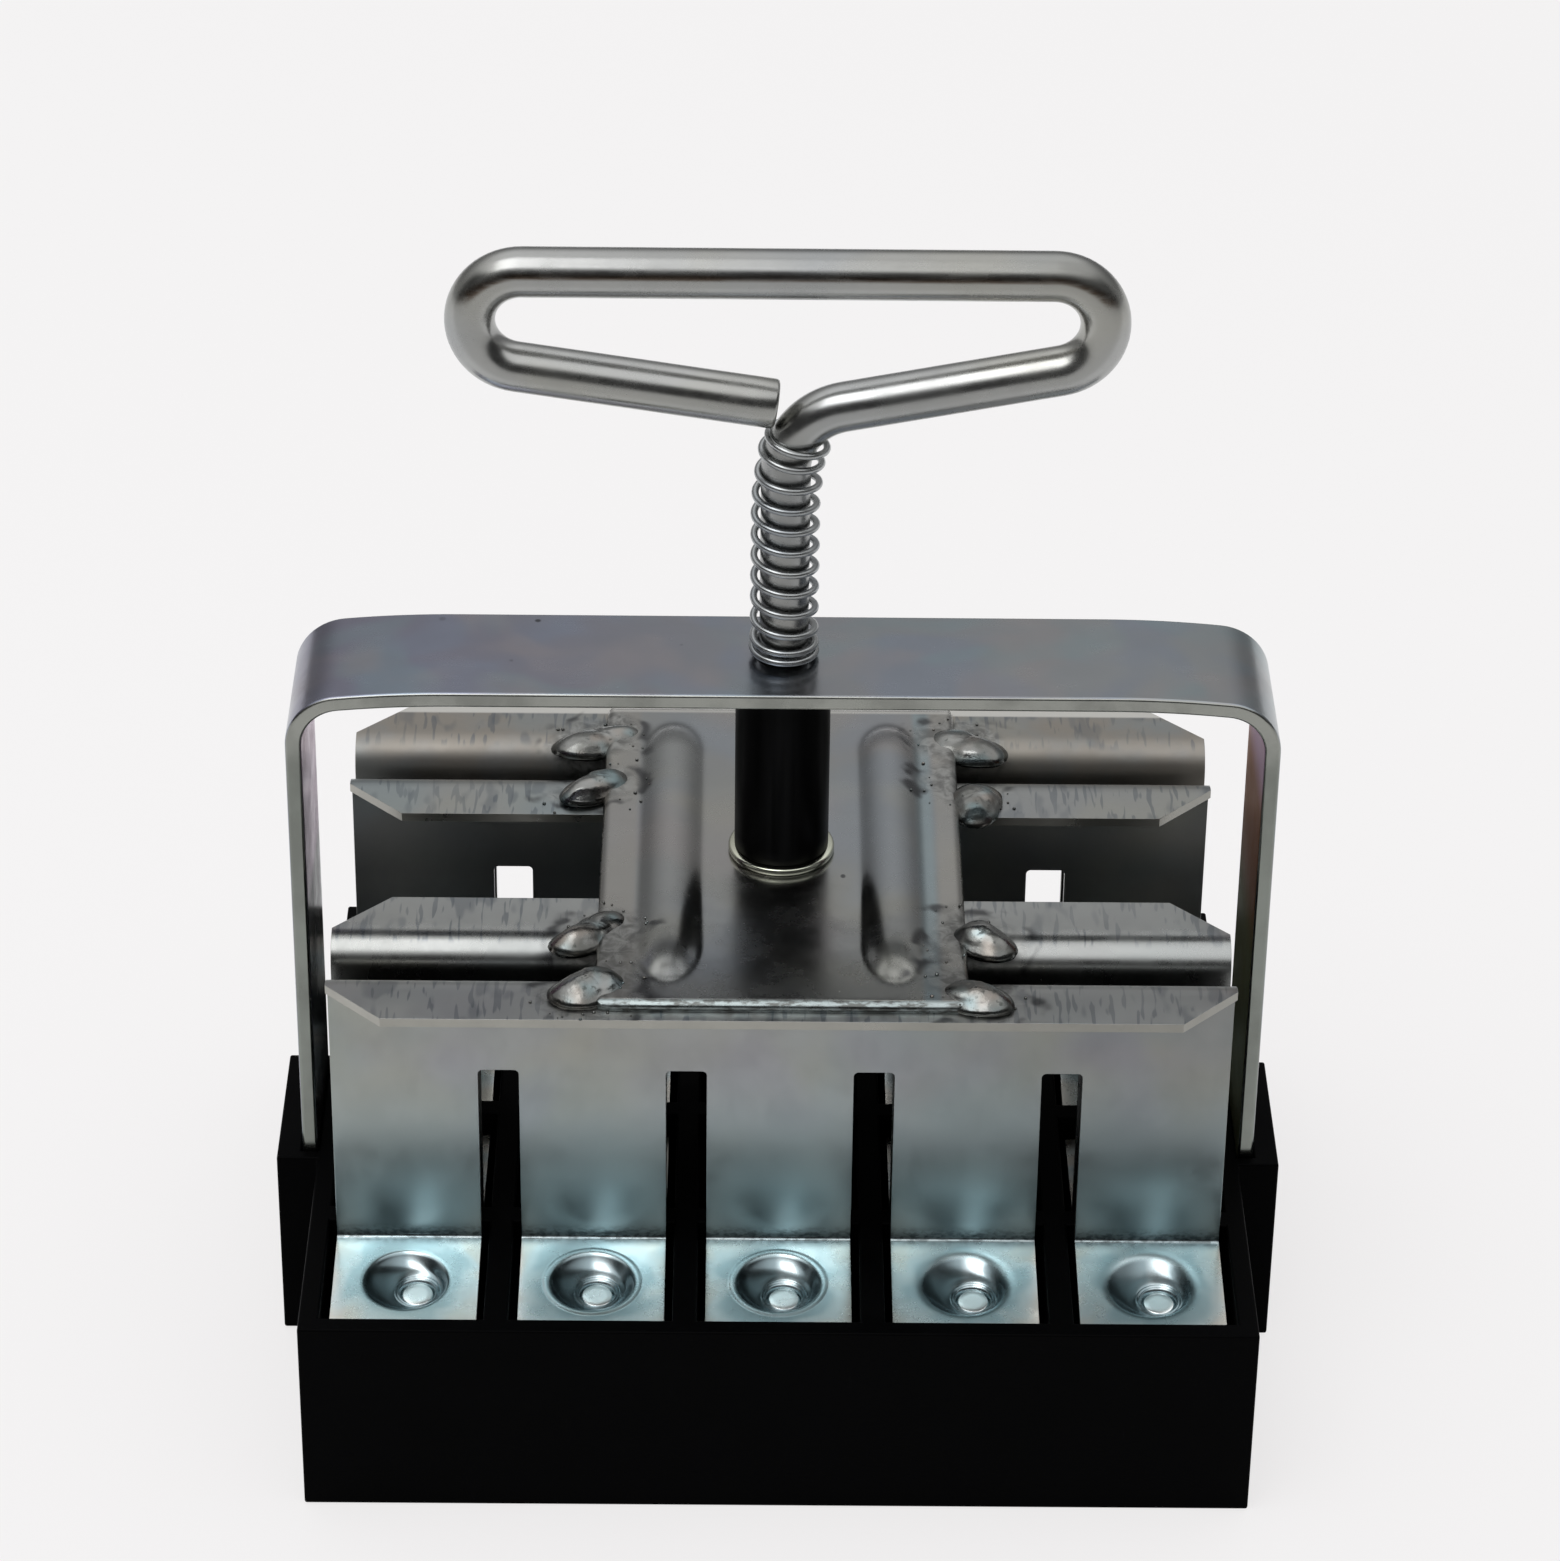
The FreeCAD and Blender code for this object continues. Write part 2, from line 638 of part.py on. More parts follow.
def make_comb(number):
    """Bent sheet bar: top flange, slotted web, and a foot on each finger with a pressed dish.

    Drawn with the divider's middle plane at Y = 0 and the feet towards -Y.
    """
    label = f"comb_{number}"
    body = new_body(label)
    section = new_sketch(body, label + "_section", "YZ_Plane")
    outline(section, [("-flange_front", "comb_top"), ("-flange_front", "flange_under"),
                      ("-web_front", "flange_under", "flange_inner_bend"),
                      ("-web_front", "foot_top", "foot_bend"),
                      ("-foot_front", "foot_top"), ("-foot_front", "foot_under"),
                      ("-web_back", "foot_under", "foot_outer_bend"),
                      ("-web_back", "comb_top", "flange_bend")])
    pad(body, section, "Sizes.comb_x * 2", symmetric=True)

    chamfer = new_sketch(body, label + "_chamfer", "XY_Plane", "comb_top")
    polygon(chamfer, [("chamfer_x", "-flange_front"), ("comb_x", "-flange_front"),
                      ("comb_x", "-chamfer_back")])
    chamfer_cut = pocket(body, chamfer, "Sizes.sheet")
    mirrored(body, [chamfer_cut], label + "_chamfer_mirror")

    slot = new_sketch(body, label + "_slot", "XZ_Plane")
    outline(slot, [("slot_left", "slot_bottom"), ("slot_right", "slot_bottom"),
                   ("slot_right", "slot_top", "slot_corner"), ("slot_left", "slot_top", "slot_corner")])
    slot_cut = pocket(body, slot, "Sizes.foot_front * 2", symmetric=True)
    repeated(body, [slot_cut], label + "_slots", "Sizes.columns - 1")

    boss = new_sketch(body, label + "_dish_boss", "XZ_Plane", "dish_y")
    axis_line(boss, ("first_finger", "dish_floor_under"), ("first_finger", "foot_top"))
    polygon(boss, [("first_finger", "dish_floor_under"), ("dish_floor", "dish_floor_under"),
                   ("dish_step", "dish_step_under"), ("dish_outer", "foot_under"),
                   ("dish_outer", "foot_top"), ("first_finger", "foot_top")])
    boss_turn = turned(body, "Revolution", boss)
    dish = new_sketch(body, label + "_dish", "XZ_Plane", "dish_y")
    axis_line(dish, ("first_finger", "dish_floor_under"), ("first_finger", "foot_top"))
    polygon(dish, [("first_finger", "dish_floor_under"), ("dish_hole", "dish_floor_under"),
                   ("dish_hole", "dish_floor_z"), ("dish_floor", "dish_floor_z"),
                   ("dish_step", "dish_step_z"), ("dish_outer", "foot_top"),
                   ("first_finger", "foot_top")])
    dish_turn = turned(body, "Groove", dish)
    repeated(body, [boss_turn, dish_turn], label + "_dishes", "Sizes.columns")
    body.Placement = comb_place(number)
    return body


def make_dibber_pin(row, column):
    """Pin staked through the floor of a dish: flat head above, shank, and a blunt nose below."""
    label = f"dibber_pin_r{row}_c{column}"
    head = primitive("Cylinder", label + "_head", Radius="Sizes.pin_head / 2",
                     Height="Sizes.pin_head_height", Placement_Base_z="Sizes.dish_floor_z")
    shank = primitive("Cylinder", label + "_shank", Radius="Sizes.pin_shank / 2",
                      Height="Sizes.sheet", Placement_Base_z="Sizes.dish_floor_under")
    nose = primitive("Cone", label + "_nose", Radius1="Sizes.pin_tip / 2",
                     Radius2="Sizes.pin_nose / 2", Height="Sizes.pin_length",
                     Placement_Base_z="Sizes.dish_floor_under - Sizes.pin_length")
    pin = doc.addObject("Part::MultiFuse", label)
    pin.Label = label
    pin.Shapes = [head, shank, nose]
    across = amount("first_finger") + (column - 1) * amount("pitch")
    local = Placement(Vector(across, -amount("dish_y"), 0), Rotation())
    pin.Placement = comb_place(row).multiply(local)
    return pin


def make_bridge_plate():
    """Plate across the four flanges, stiffened by two pressed ribs that are hollow below."""
    body = new_body("bridge_plate")
    base = new_sketch(body, "PlateOutline", "XY_Plane", "comb_top")
    rectangle(base, "-plate_x", "plate_x", "-plate_y", "plate_y", "plate_corner")
    pad(body, base, "Sizes.plate_thickness")

    rib = new_sketch(body, "RibOutline", "XY_Plane", "plate_top")
    slot_outline(rib, "rib_left", "rib_right", "rib_y", "rib_radius")
    rib_pad = pad(body, rib, "Sizes.rib_height")
    groove = new_sketch(body, "RibGroove", "XY_Plane", "comb_top")
    slot_outline(groove, "groove_left", "groove_right", "groove_y", "groove_radius")
    groove_cut = pocket(body, groove, "Sizes.rib_height", reverse=True)
    mirrored(body, [rib_pad, groove_cut], "RibMirror")

    rib_top = amount("plate_top") + amount("rib_height")
    rounded(body, "RibRounding", "rib_rounding", lambda point: abs(point.z - rib_top) < NEAR)
    rounded(body, "RibHollow", "rib_foot", lambda point: abs(point.z - amount("plate_top")) < NEAR
            and abs(point.x) < amount("rib_right") + NEAR and abs(point.y) < amount("rib_y") + NEAR)

    hole = new_sketch(body, "PlateRodHole", "XY_Plane", "plate_top")
    circle(hole, "0", "0", "bore")
    pocket(body, hole)
    return body


def slot_outline(sketch, left, right, half_length, radius):
    """Long slot with round ends, from -half_length to half_length."""
    low, high = amount(left), amount(right)
    round_by, straight = amount(radius), amount(half_length) - amount(radius)
    middle = (low + high) / 2
    right_side = add_line(sketch, Vector(high, -straight, 0), Vector(high, straight, 0))
    left_side = add_line(sketch, Vector(low, straight, 0), Vector(low, -straight, 0))
    back = add_arc(sketch, Vector(middle, straight, 0), Vector(high, straight, 0),
                   Vector(low, straight, 0), 1)
    front = add_arc(sketch, Vector(middle, -straight, 0), Vector(low, -straight, 0),
                    Vector(high, -straight, 0), 1)
    for join in ((right_side, 2) + back[:2], (back[0], back[2], left_side, 1),
                 (left_side, 2) + front[:2], (front[0], front[2], right_side, 1)):
        sketch.addConstraint(Sketcher.Constraint("Tangent", *join))
    for side, across in ((right_side, right), (left_side, left)):
        sketch.addConstraint(Sketcher.Constraint("Vertical", side))
        place_point(sketch, side, 1, across=across)
    for arc, reach in ((back[0], f"Sizes.{half_length} - Sizes.{radius}"),
                       (front[0], f"Sizes.{radius} - Sizes.{half_length}")):
        value = straight if arc == back[0] else -straight
        index = sketch.addConstraint(Sketcher.Constraint("DistanceY", *ORIGIN_POINT, arc, 3, value))
        sketch.setExpression(f"Constraints[{index}]", reach)


def make_handle_rod():
    """One bent rod: up from the bridge plate, out to the right, round the grip, back to its end."""
    body = new_body("handle_rod")
    route = new_sketch(body, "RodRoute", "XZ_Plane")
    rod_route(route)
    section = new_sketch(body, "RodSection", "XY_Plane", "rod_bottom")
    circle(section, "0", "0", "rod_radius")
    pipe = body.newObject("PartDesign::AdditivePipe", "RodPipe")
    pipe.Profile = section
    pipe.Spine = route
    pipe.Mode = "Frenet"
    doc.recompute()
    return body


def rod_route(sketch):
    """Centre line of the rod: straight runs joined by tangent arcs.

    The left run ends where its lower edge would meet the neck's bend, one named clearance short.
    """
    bend, neck = amount("grip_bend"), amount("neck_bend")
    right, left = math.radians(amount("right_turn")), math.radians(amount("left_turn"))
    right_centre = Vector(amount("grip_end_x"), amount("grip_end_z"), 0)
    left_centre = Vector(-amount("grip_end_x"), amount("grip_end_z"), 0)
    right_low = right_centre + Vector(math.sin(right), -math.cos(right), 0) * bend
    left_low = left_centre + Vector(-math.sin(left), -math.cos(left), 0) * bend
    left_end = left_low + Vector(math.cos(left), -math.sin(left), 0) * amount("left_run")
    neck_start = Vector(0, amount("neck_start"), 0)
    neck_centre = neck_start + Vector(neck, 0, 0)
    neck_end = neck_centre + Vector(-math.sin(right), math.cos(right), 0) * neck

    stem = add_line(sketch, Vector(0, amount("rod_bottom"), 0), neck_start)
    neck_arc = add_arc(sketch, neck_centre, neck_start, neck_end, -1)
    right_run = add_line(sketch, neck_end, right_low)
    right_arc = add_arc(sketch, right_centre, right_low, right_centre + Vector(0, bend, 0), 1)
    grip = add_line(sketch, right_centre + Vector(0, bend, 0), left_centre + Vector(0, bend, 0))
    left_arc = add_arc(sketch, left_centre, left_centre + Vector(0, bend, 0), left_low, 1)
    left_run = add_line(sketch, left_low, left_end)
    for join in ((stem, 2) + neck_arc[:2], (neck_arc[0], neck_arc[2], right_run, 1),
                 (right_run, 2) + right_arc[:2], (right_arc[0], right_arc[2], grip, 1),
                 (grip, 2) + left_arc[:2], (left_arc[0], left_arc[2], left_run, 1)):
        sketch.addConstraint(Sketcher.Constraint("Tangent", *join))
    sketch.addConstraint(Sketcher.Constraint("Vertical", stem))
    sketch.addConstraint(Sketcher.Constraint("Horizontal", grip))
    place_point(sketch, stem, 1, "0", "rod_bottom")
    place_point(sketch, right_arc[0], 3, "grip_end_x", "grip_end_z")
    place_point(sketch, left_arc[0], 3, "-grip_end_x")
    bind(sketch, "Distance", left_run, term="left_run")
    bind(sketch, "Radius", neck_arc[0], term="neck_bend")
    bind(sketch, "Radius", right_arc[0], term="grip_bend")
    bind(sketch, "Radius", left_arc[0], term="grip_bend")
    for run, angle, turn in ((right_run, right, "Sizes.right_turn"), (left_run, -left, "-Sizes.left_turn")):
        index = sketch.addConstraint(Sketcher.Constraint("Angle", run, angle))
        sketch.setExpression(f"Constraints[{index}]", turn)


def make_rod_weld():
    """Ring of weld that holds the rod's end under the bridge plate."""
    cone = primitive("Cone", "rod_weld_cone", Radius1="Sizes.rod_radius + Sizes.rod_weld_foot",
                     Radius2="Sizes.rod_weld_diameter / 2", Height="Sizes.rod_weld_height",
                     Placement_Base_z="Sizes.comb_top - Sizes.rod_weld_height")
    core = primitive("Cylinder", "rod_weld_core", Radius="Sizes.rod_radius",
                     Height="Sizes.rod_weld_height",
                     Placement_Base_z="Sizes.comb_top - Sizes.rod_weld_height")
    return boolean("Cut", "rod_weld", cone, core)


def make_ring(label, diameter, bottom, height):
    """Plain ring on the rod, with the common bore clearance."""
    outside = primitive("Cylinder", label + "_outside", Radius=f"{diameter} / 2", Height=height,
                        Placement_Base_z=bottom)
    inside = primitive("Cylinder", label + "_inside", Radius="Sizes.bore", Height=height,
                       Placement_Base_z=bottom)
    return boolean("Cut", label, outside, inside)


def make_weld(row, side, name, comb, plate):
    """Bead over the edge of the bridge plate and the flange of one comb."""
    label = f"weld_r{row}_{name}"
    bead = primitive("Ellipsoid", label + "_bead", Radius1="Sizes.weld_height + Sizes.weld_sink",
                     Radius2="Sizes.weld_reach", Radius3="Sizes.weld_length / 2")
    bead.Angle1 = 0
    inset = amount("front_weld_inset") if row % 2 else amount("rear_weld_inset")
    facing = comb_place(row)
    across = side * amount("weld_x")
    spot = facing.multVec(Vector(0, -amount("web_back") - inset, 0))
    bead.Placement = Placement(Vector(across, spot.y, amount("weld_z")), Rotation())
    beside_plate = boolean("Cut", label + "_beside_plate", bead, plate)
    return boolean("Cut", label, beside_plate, comb)


# ---------------------------------------------------------------------------------------------
# Assembly
# ---------------------------------------------------------------------------------------------
def check(parts):
    for thing in doc.Objects:
        if "Invalid" in thing.State or "Error" in thing.State:
            raise RuntimeError(f"{thing.Label} is {thing.State}")
    for part in parts:
        if part.Shape.isNull() or not part.Shape.isValid():
            raise RuntimeError(f"{part.Label} has no valid shape")


def build():
    fill_sheet()
    parts = [make_mould_block(), make_strap(), make_strap_rivet(-1, "strap_rivet_left"),
             make_strap_rivet(1, "strap_rivet_right"), make_spring(), make_handle_rod(),
             make_bridge_plate(), make_rod_weld()]
    parts.append(make_ring("washer", "Sizes.washer_diameter", "Sizes.plate_top",
                           "Sizes.washer_thickness"))
    parts.append(make_ring("sleeve", "Sizes.sleeve_diameter", "Sizes.washer_top",
                           "Sizes.sleeve_top - Sizes.washer_top"))
    plate = next(part for part in parts if part.Label == "bridge_plate")
    for row in range(1, int(amount("rows")) + 1):
        comb = make_comb(row)
        parts.append(comb)
        for column in range(1, int(amount("columns")) + 1):
            parts.append(make_dibber_pin(row, column))
        for side, name in ((-1, "left"), (1, "right")):
            parts.append(make_weld(row, side, name, comb, plate))
    doc.recompute()
    check(parts)
    return parts


def write(parts):
    os.makedirs("parts", exist_ok=True)
    for part in parts:
        part.Shape.exportStep(os.path.join("parts", part.Label + ".step"))
        print(f"{part.Label}: {len(part.Shape.Solids)} solid, {part.Shape.Volume:.1f} mm3")


write(build())
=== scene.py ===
"""Looks of a hand soil blocker: a black moulded block of cells, a zinc plated strap and a sprung pusher.

Metres, +Z up, +Y away from the user.  Places come from the frame's boxes; MM turns millimetres into metres.
"""

import math
import random

import bpy
from mathutils import Matrix, Vector, noise


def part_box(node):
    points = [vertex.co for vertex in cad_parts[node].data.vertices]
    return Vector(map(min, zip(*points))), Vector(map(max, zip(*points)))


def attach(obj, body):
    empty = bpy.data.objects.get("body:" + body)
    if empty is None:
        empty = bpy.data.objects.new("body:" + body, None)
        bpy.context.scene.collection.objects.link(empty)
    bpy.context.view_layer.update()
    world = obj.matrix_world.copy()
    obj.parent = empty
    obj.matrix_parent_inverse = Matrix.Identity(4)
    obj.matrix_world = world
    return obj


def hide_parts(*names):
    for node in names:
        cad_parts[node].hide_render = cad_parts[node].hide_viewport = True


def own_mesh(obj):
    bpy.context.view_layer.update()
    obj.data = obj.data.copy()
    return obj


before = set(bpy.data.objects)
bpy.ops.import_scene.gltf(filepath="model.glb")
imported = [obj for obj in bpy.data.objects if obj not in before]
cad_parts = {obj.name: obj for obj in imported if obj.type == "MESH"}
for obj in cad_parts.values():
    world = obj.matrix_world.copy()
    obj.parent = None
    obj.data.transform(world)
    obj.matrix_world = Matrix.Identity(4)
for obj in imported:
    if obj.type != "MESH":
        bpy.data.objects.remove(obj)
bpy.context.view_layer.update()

MM = 0.001

# ---------------------------------------------------------------------------------------------
# Places taken from the frame
# ---------------------------------------------------------------------------------------------
BLOCK_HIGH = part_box("mould_block")[1]
STRAP_LOW, STRAP_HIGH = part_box("strap")
SPRING_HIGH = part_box("spring")[1]
ROD_LOW, ROD_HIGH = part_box("handle_rod")
PLATE_LOW, PLATE_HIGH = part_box("bridge_plate")
COMB_LOW, COMB_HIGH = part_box("comb_1")
WASHER_LOW, WASHER_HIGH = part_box("washer")
SLEEVE_LOW, SLEEVE_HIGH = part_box("sleeve")
RIVET_LOW, RIVET_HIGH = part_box("strap_rivet_right")
RING_LOW, RING_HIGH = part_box("rod_weld")

ROWS, COLUMNS = 4, 5
SIDES = {"left": -1, "right": 1}

# Mould block
CELL = 20 * MM
DIVIDER = 3 * MM
OUTER_WALL = 2.5 * MM
PITCH = CELL + DIVIDER
BOSS_HALF = 11.5 * MM
SOCKET_FLOOR = STRAP_LOW.z
SOCKET_CLEARANCE = 0.15 * MM
SOCKET_X, SOCKET_Y = STRAP_HIGH.x + SOCKET_CLEARANCE, STRAP_HIGH.y + SOCKET_CLEARANCE
BLOCK_X = BLOCK_HIGH.y + PITCH / 2
BLOCK_Y = BLOCK_HIGH.y
INNER_X, INNER_Y = BLOCK_X - OUTER_WALL, BLOCK_Y - OUTER_WALL
BLOCK_EDGE = 0.3 * MM

# Rivets
RIVET_HEAD_DEPTH = 1.4 * MM
RIVET_TAIL_DEPTH = 0.9 * MM
RIVET_SHANK = 1.6 * MM
RIVET_TAIL = 2.4 * MM

# Strap
STRAP_THICKNESS = 2 * MM
STRAP_CORNER = 7 * MM
SHOULDER_RADIUS = 140 * MM
SHOULDER_LENGTH = 13.5 * MM
STRAP_HOLE = 3.1 * MM
STRAP_HOLE_RIM = 0.5 * MM
STRAP_EDGE = 0.42 * MM

# Comb bars, drawn with the divider's middle plane at Y = 0 and the feet towards -Y
SHEET = 1.2 * MM
COMB_MIDDLE = -PITCH
WEB_BACK = COMB_MIDDLE - COMB_HIGH.y
FOOT_FRONT = COMB_MIDDLE - COMB_LOW.y
COMB_TOP = COMB_HIGH.z
COMB_X = COMB_HIGH.x
FINGER = 18 * MM
FLANGE_DEPTH = 11 * MM
FLANGE_BEND = 4 * MM
FLANGE_CHAMFER = 7 * MM
FOOT_TOP = BLOCK_HIGH.z - 1.1 * MM
FOOT_BEND = 0.6 * MM
FOOT_DROOP = math.radians(5)
SLOT_CORNER = 0.6 * MM
SLOT_TOP = FOOT_TOP + 25.4 * MM
DISH_Y = (DIVIDER + CELL) / 2
SHEET_EDGE = 0.18 * MM
HAIR = 0.01 * MM

# Pins
PIN_HEAD = 0.4 * MM

# Bridge plate
PLATE_THICKNESS = 1.3 * MM
PLATE_TOP = COMB_TOP + PLATE_THICKNESS
PLATE_CORNER = 1.5 * MM
PLATE_HOLE = 3.2 * MM
PLATE_ROLL, PLATE_ROLL_WIDTH = 1.3 * MM, 1.1 * MM
PLATE_WAVE, PLATE_WAVE_LENGTH = 0.04 * MM, 14 * MM
PLATE_EDGE = 0.12 * MM
RIB_X = 13.8 * MM
RIB_RADIUS = 3.8 * MM
RIB_NOSE = 0.5
RIB_REACH = PLATE_HIGH.y - 4.8 * MM - RIB_RADIUS / RIB_NOSE
RIB_HEIGHT = PLATE_HIGH.z - PLATE_TOP
RIB_FILLET = 0.45 * MM

# Bent rod
ROD_RADIUS = 3 * MM
NECK_BEND = 8.5 * MM
GRIP_BEND = 6.25 * MM
RIGHT_SLOPE = math.radians(11.2)
LEFT_SLOPE = math.radians(8.7)
FREE_END_X = -1.18 * MM
NECK_START = SPRING_HIGH.z - 1.5 * MM

# Spring: turns are counted from its lower end, and the pitches are in millimetres before the fit
WIRE = 0.9 * MM
WIRE_CLEARANCE = 0.32 * MM
SPRING_TOP = 126.0 * MM
SPRING_TURNS = 12.35
SPRING_START = 0.9 * math.pi
SPRING_LEAN = 0.45 * MM
SPRING_TILT = math.radians(9)
CLOSED_PITCH, FIRST_PITCH, ACTIVE_PITCH, TOP_PITCH = 1.05, 1.45, 2.95, 1.6


# ---------------------------------------------------------------------------------------------
# Mesh helpers
# ---------------------------------------------------------------------------------------------
def new_piece(name, points, faces, body, material, stands_for, crease=38.0):
    """Mesh object from points and faces, shaded smooth up to the crease angle, riding on a body."""
    mesh = bpy.data.meshes.new(name)
    mesh.from_pydata([tuple(point) for point in points], [], faces)
    mesh.validate()
    mesh.update()
    piece = bpy.data.objects.new(name, mesh)
    bpy.context.scene.collection.objects.link(piece)
    mesh.materials.append(material)
    mesh.shade_smooth()
    mesh.set_sharp_from_angle(angle=math.radians(crease))
    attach(piece, body)
    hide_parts(*stands_for)
    return piece


def soften(piece, width, segments, angle=30.0):
    """Round the piece's sharp edges a little and keep the result in its mesh."""
    bevel = piece.modifiers.new("edges", "BEVEL")
    bevel.width = width
    bevel.segments = segments
    bevel.limit_method = "ANGLE"
    bevel.angle_limit = math.radians(angle)
    bevel.harden_normals = True
    graph = bpy.context.evaluated_depsgraph_get()
    result = bpy.data.meshes.new_from_object(piece.evaluated_get(graph))
    piece.modifiers.clear()
    old = piece.data
    piece.data = result
    bpy.data.meshes.remove(old)
    return piece


def circle(count):
    """(cosine, sine) of each of the angles that cut a circle into equal parts."""
    return [(math.cos(math.tau * i / count), math.sin(math.tau * i / count)) for i in range(count)]


def ball_ways(rings, count):
    """Directions from a ball's middle to the rings of points on its skin, from the top down."""
    for ring in range(rings):
        polar = math.pi * (ring + 0.5) / rings
        for cosine, sine in circle(count):
            yield Vector((math.sin(polar) * cosine, math.sin(polar) * sine, math.cos(polar)))


def ring_faces(rings, count, closed_rings=False):
    """Quads between rings of equal length, laid one after the other in the list of points."""
    faces = []
    for ring in range(rings if closed_rings else rings - 1):
        here, there = ring * count, (ring + 1) % rings * count
        for i in range(count):
            j = (i + 1) % count
            faces.append((here + i, here + j, there + j, there + i))
    return faces


def turned(faces):
    """The same faces seen from their other side."""
    return [tuple(reversed(face)) for face in faces]


def capped_faces(rings, count):
    """Faces of a closed solid: quads between its rings, and a polygon over each end."""
    last = (rings - 1) * count
    return ring_faces(rings, count) + [tuple(reversed(range(count))), tuple(range(last, last + count))]


def revolve(profile, segments, centre=Vector(), axis="Z", closed=True):
    """Points and faces of a profile of (radius, height) turned about an upright or level axis.

    A closed profile makes a ring; an open one, from the top down, makes a solid with a flat at each end.
    """
    points = []
    for radius, height in profile:
        for cosine, sine in circle(segments):
            across, along = radius * cosine, radius * sine
            offset = (across, along, height) if axis == "Z" else (height, across, along)
            points.append(centre + Vector(offset))
    if closed:
        return points, ring_faces(len(profile), segments, closed_rings=True)
    return points, turned(capped_faces(len(profile), segments))


def arc_points(centre, radius, first, last, segments):
    """Points of an arc in the XZ plane, with angles in radians from +X."""
    return [centre + Vector((math.cos(a), 0, math.sin(a))) * radius for a in spread(first, last, segments)]


def outline(corners, count):
    """Points (x, y) round a polygon, each of whose sides is cut into equal parts."""
    return [(x + (next_x - x) * i / count, y + (next_y - y) * i / count)
            for (x, y), (next_x, next_y) in zip(corners, corners[1:] + corners[:1]) for i in range(count)]


def double_sheet(front, back, faces):
    """Closed solid from two layers of points that share their faces, stitched round every border."""
    count = len(front)
    whole = list(faces) + [tuple(i + count for i in reversed(face)) for face in faces]
    border = {}
    for face in faces:
        for start, end in zip(face, face[1:] + face[:1]):
            if (end, start) in border:
                del border[(end, start)]
            else:
                border[(start, end)] = True
    whole += [(end, start, start + count, end + count) for start, end in border]
    return list(front) + list(back), whole


def swept(line, radius, trims, segments):
    """Points and faces of a round bar along a line; trims holds what single stations lack in radius."""
    points = []
    side = Vector((0, 1, 0))
    for i, place in enumerate(line):
        ahead = (line[min(i + 1, len(line) - 1)] - line[max(i - 1, 0)]).normalized()
        side = (side - ahead * side.dot(ahead)).normalized()
        other = ahead.cross(side)
        for cosine, sine in circle(segments):
            points.append(place + (side * cosine + other * sine) * (radius - trims.get(i, 0.0)))
    return points, capped_faces(len(line), segments)


def smooth_step(low, high, value):
    share = min(1.0, max(0.0, (value - low) / (high - low)))
    return share * share * (3 - 2 * share)


def spread(low, high, count):
    return [low + (high - low) * i / count for i in range(count + 1)]


# ---------------------------------------------------------------------------------------------
# Materials
# ---------------------------------------------------------------------------------------------
def three(value):
    """A number for each axis, from one for all of them or from three."""
    return value if isinstance(value, (tuple, list)) else [value] * 3


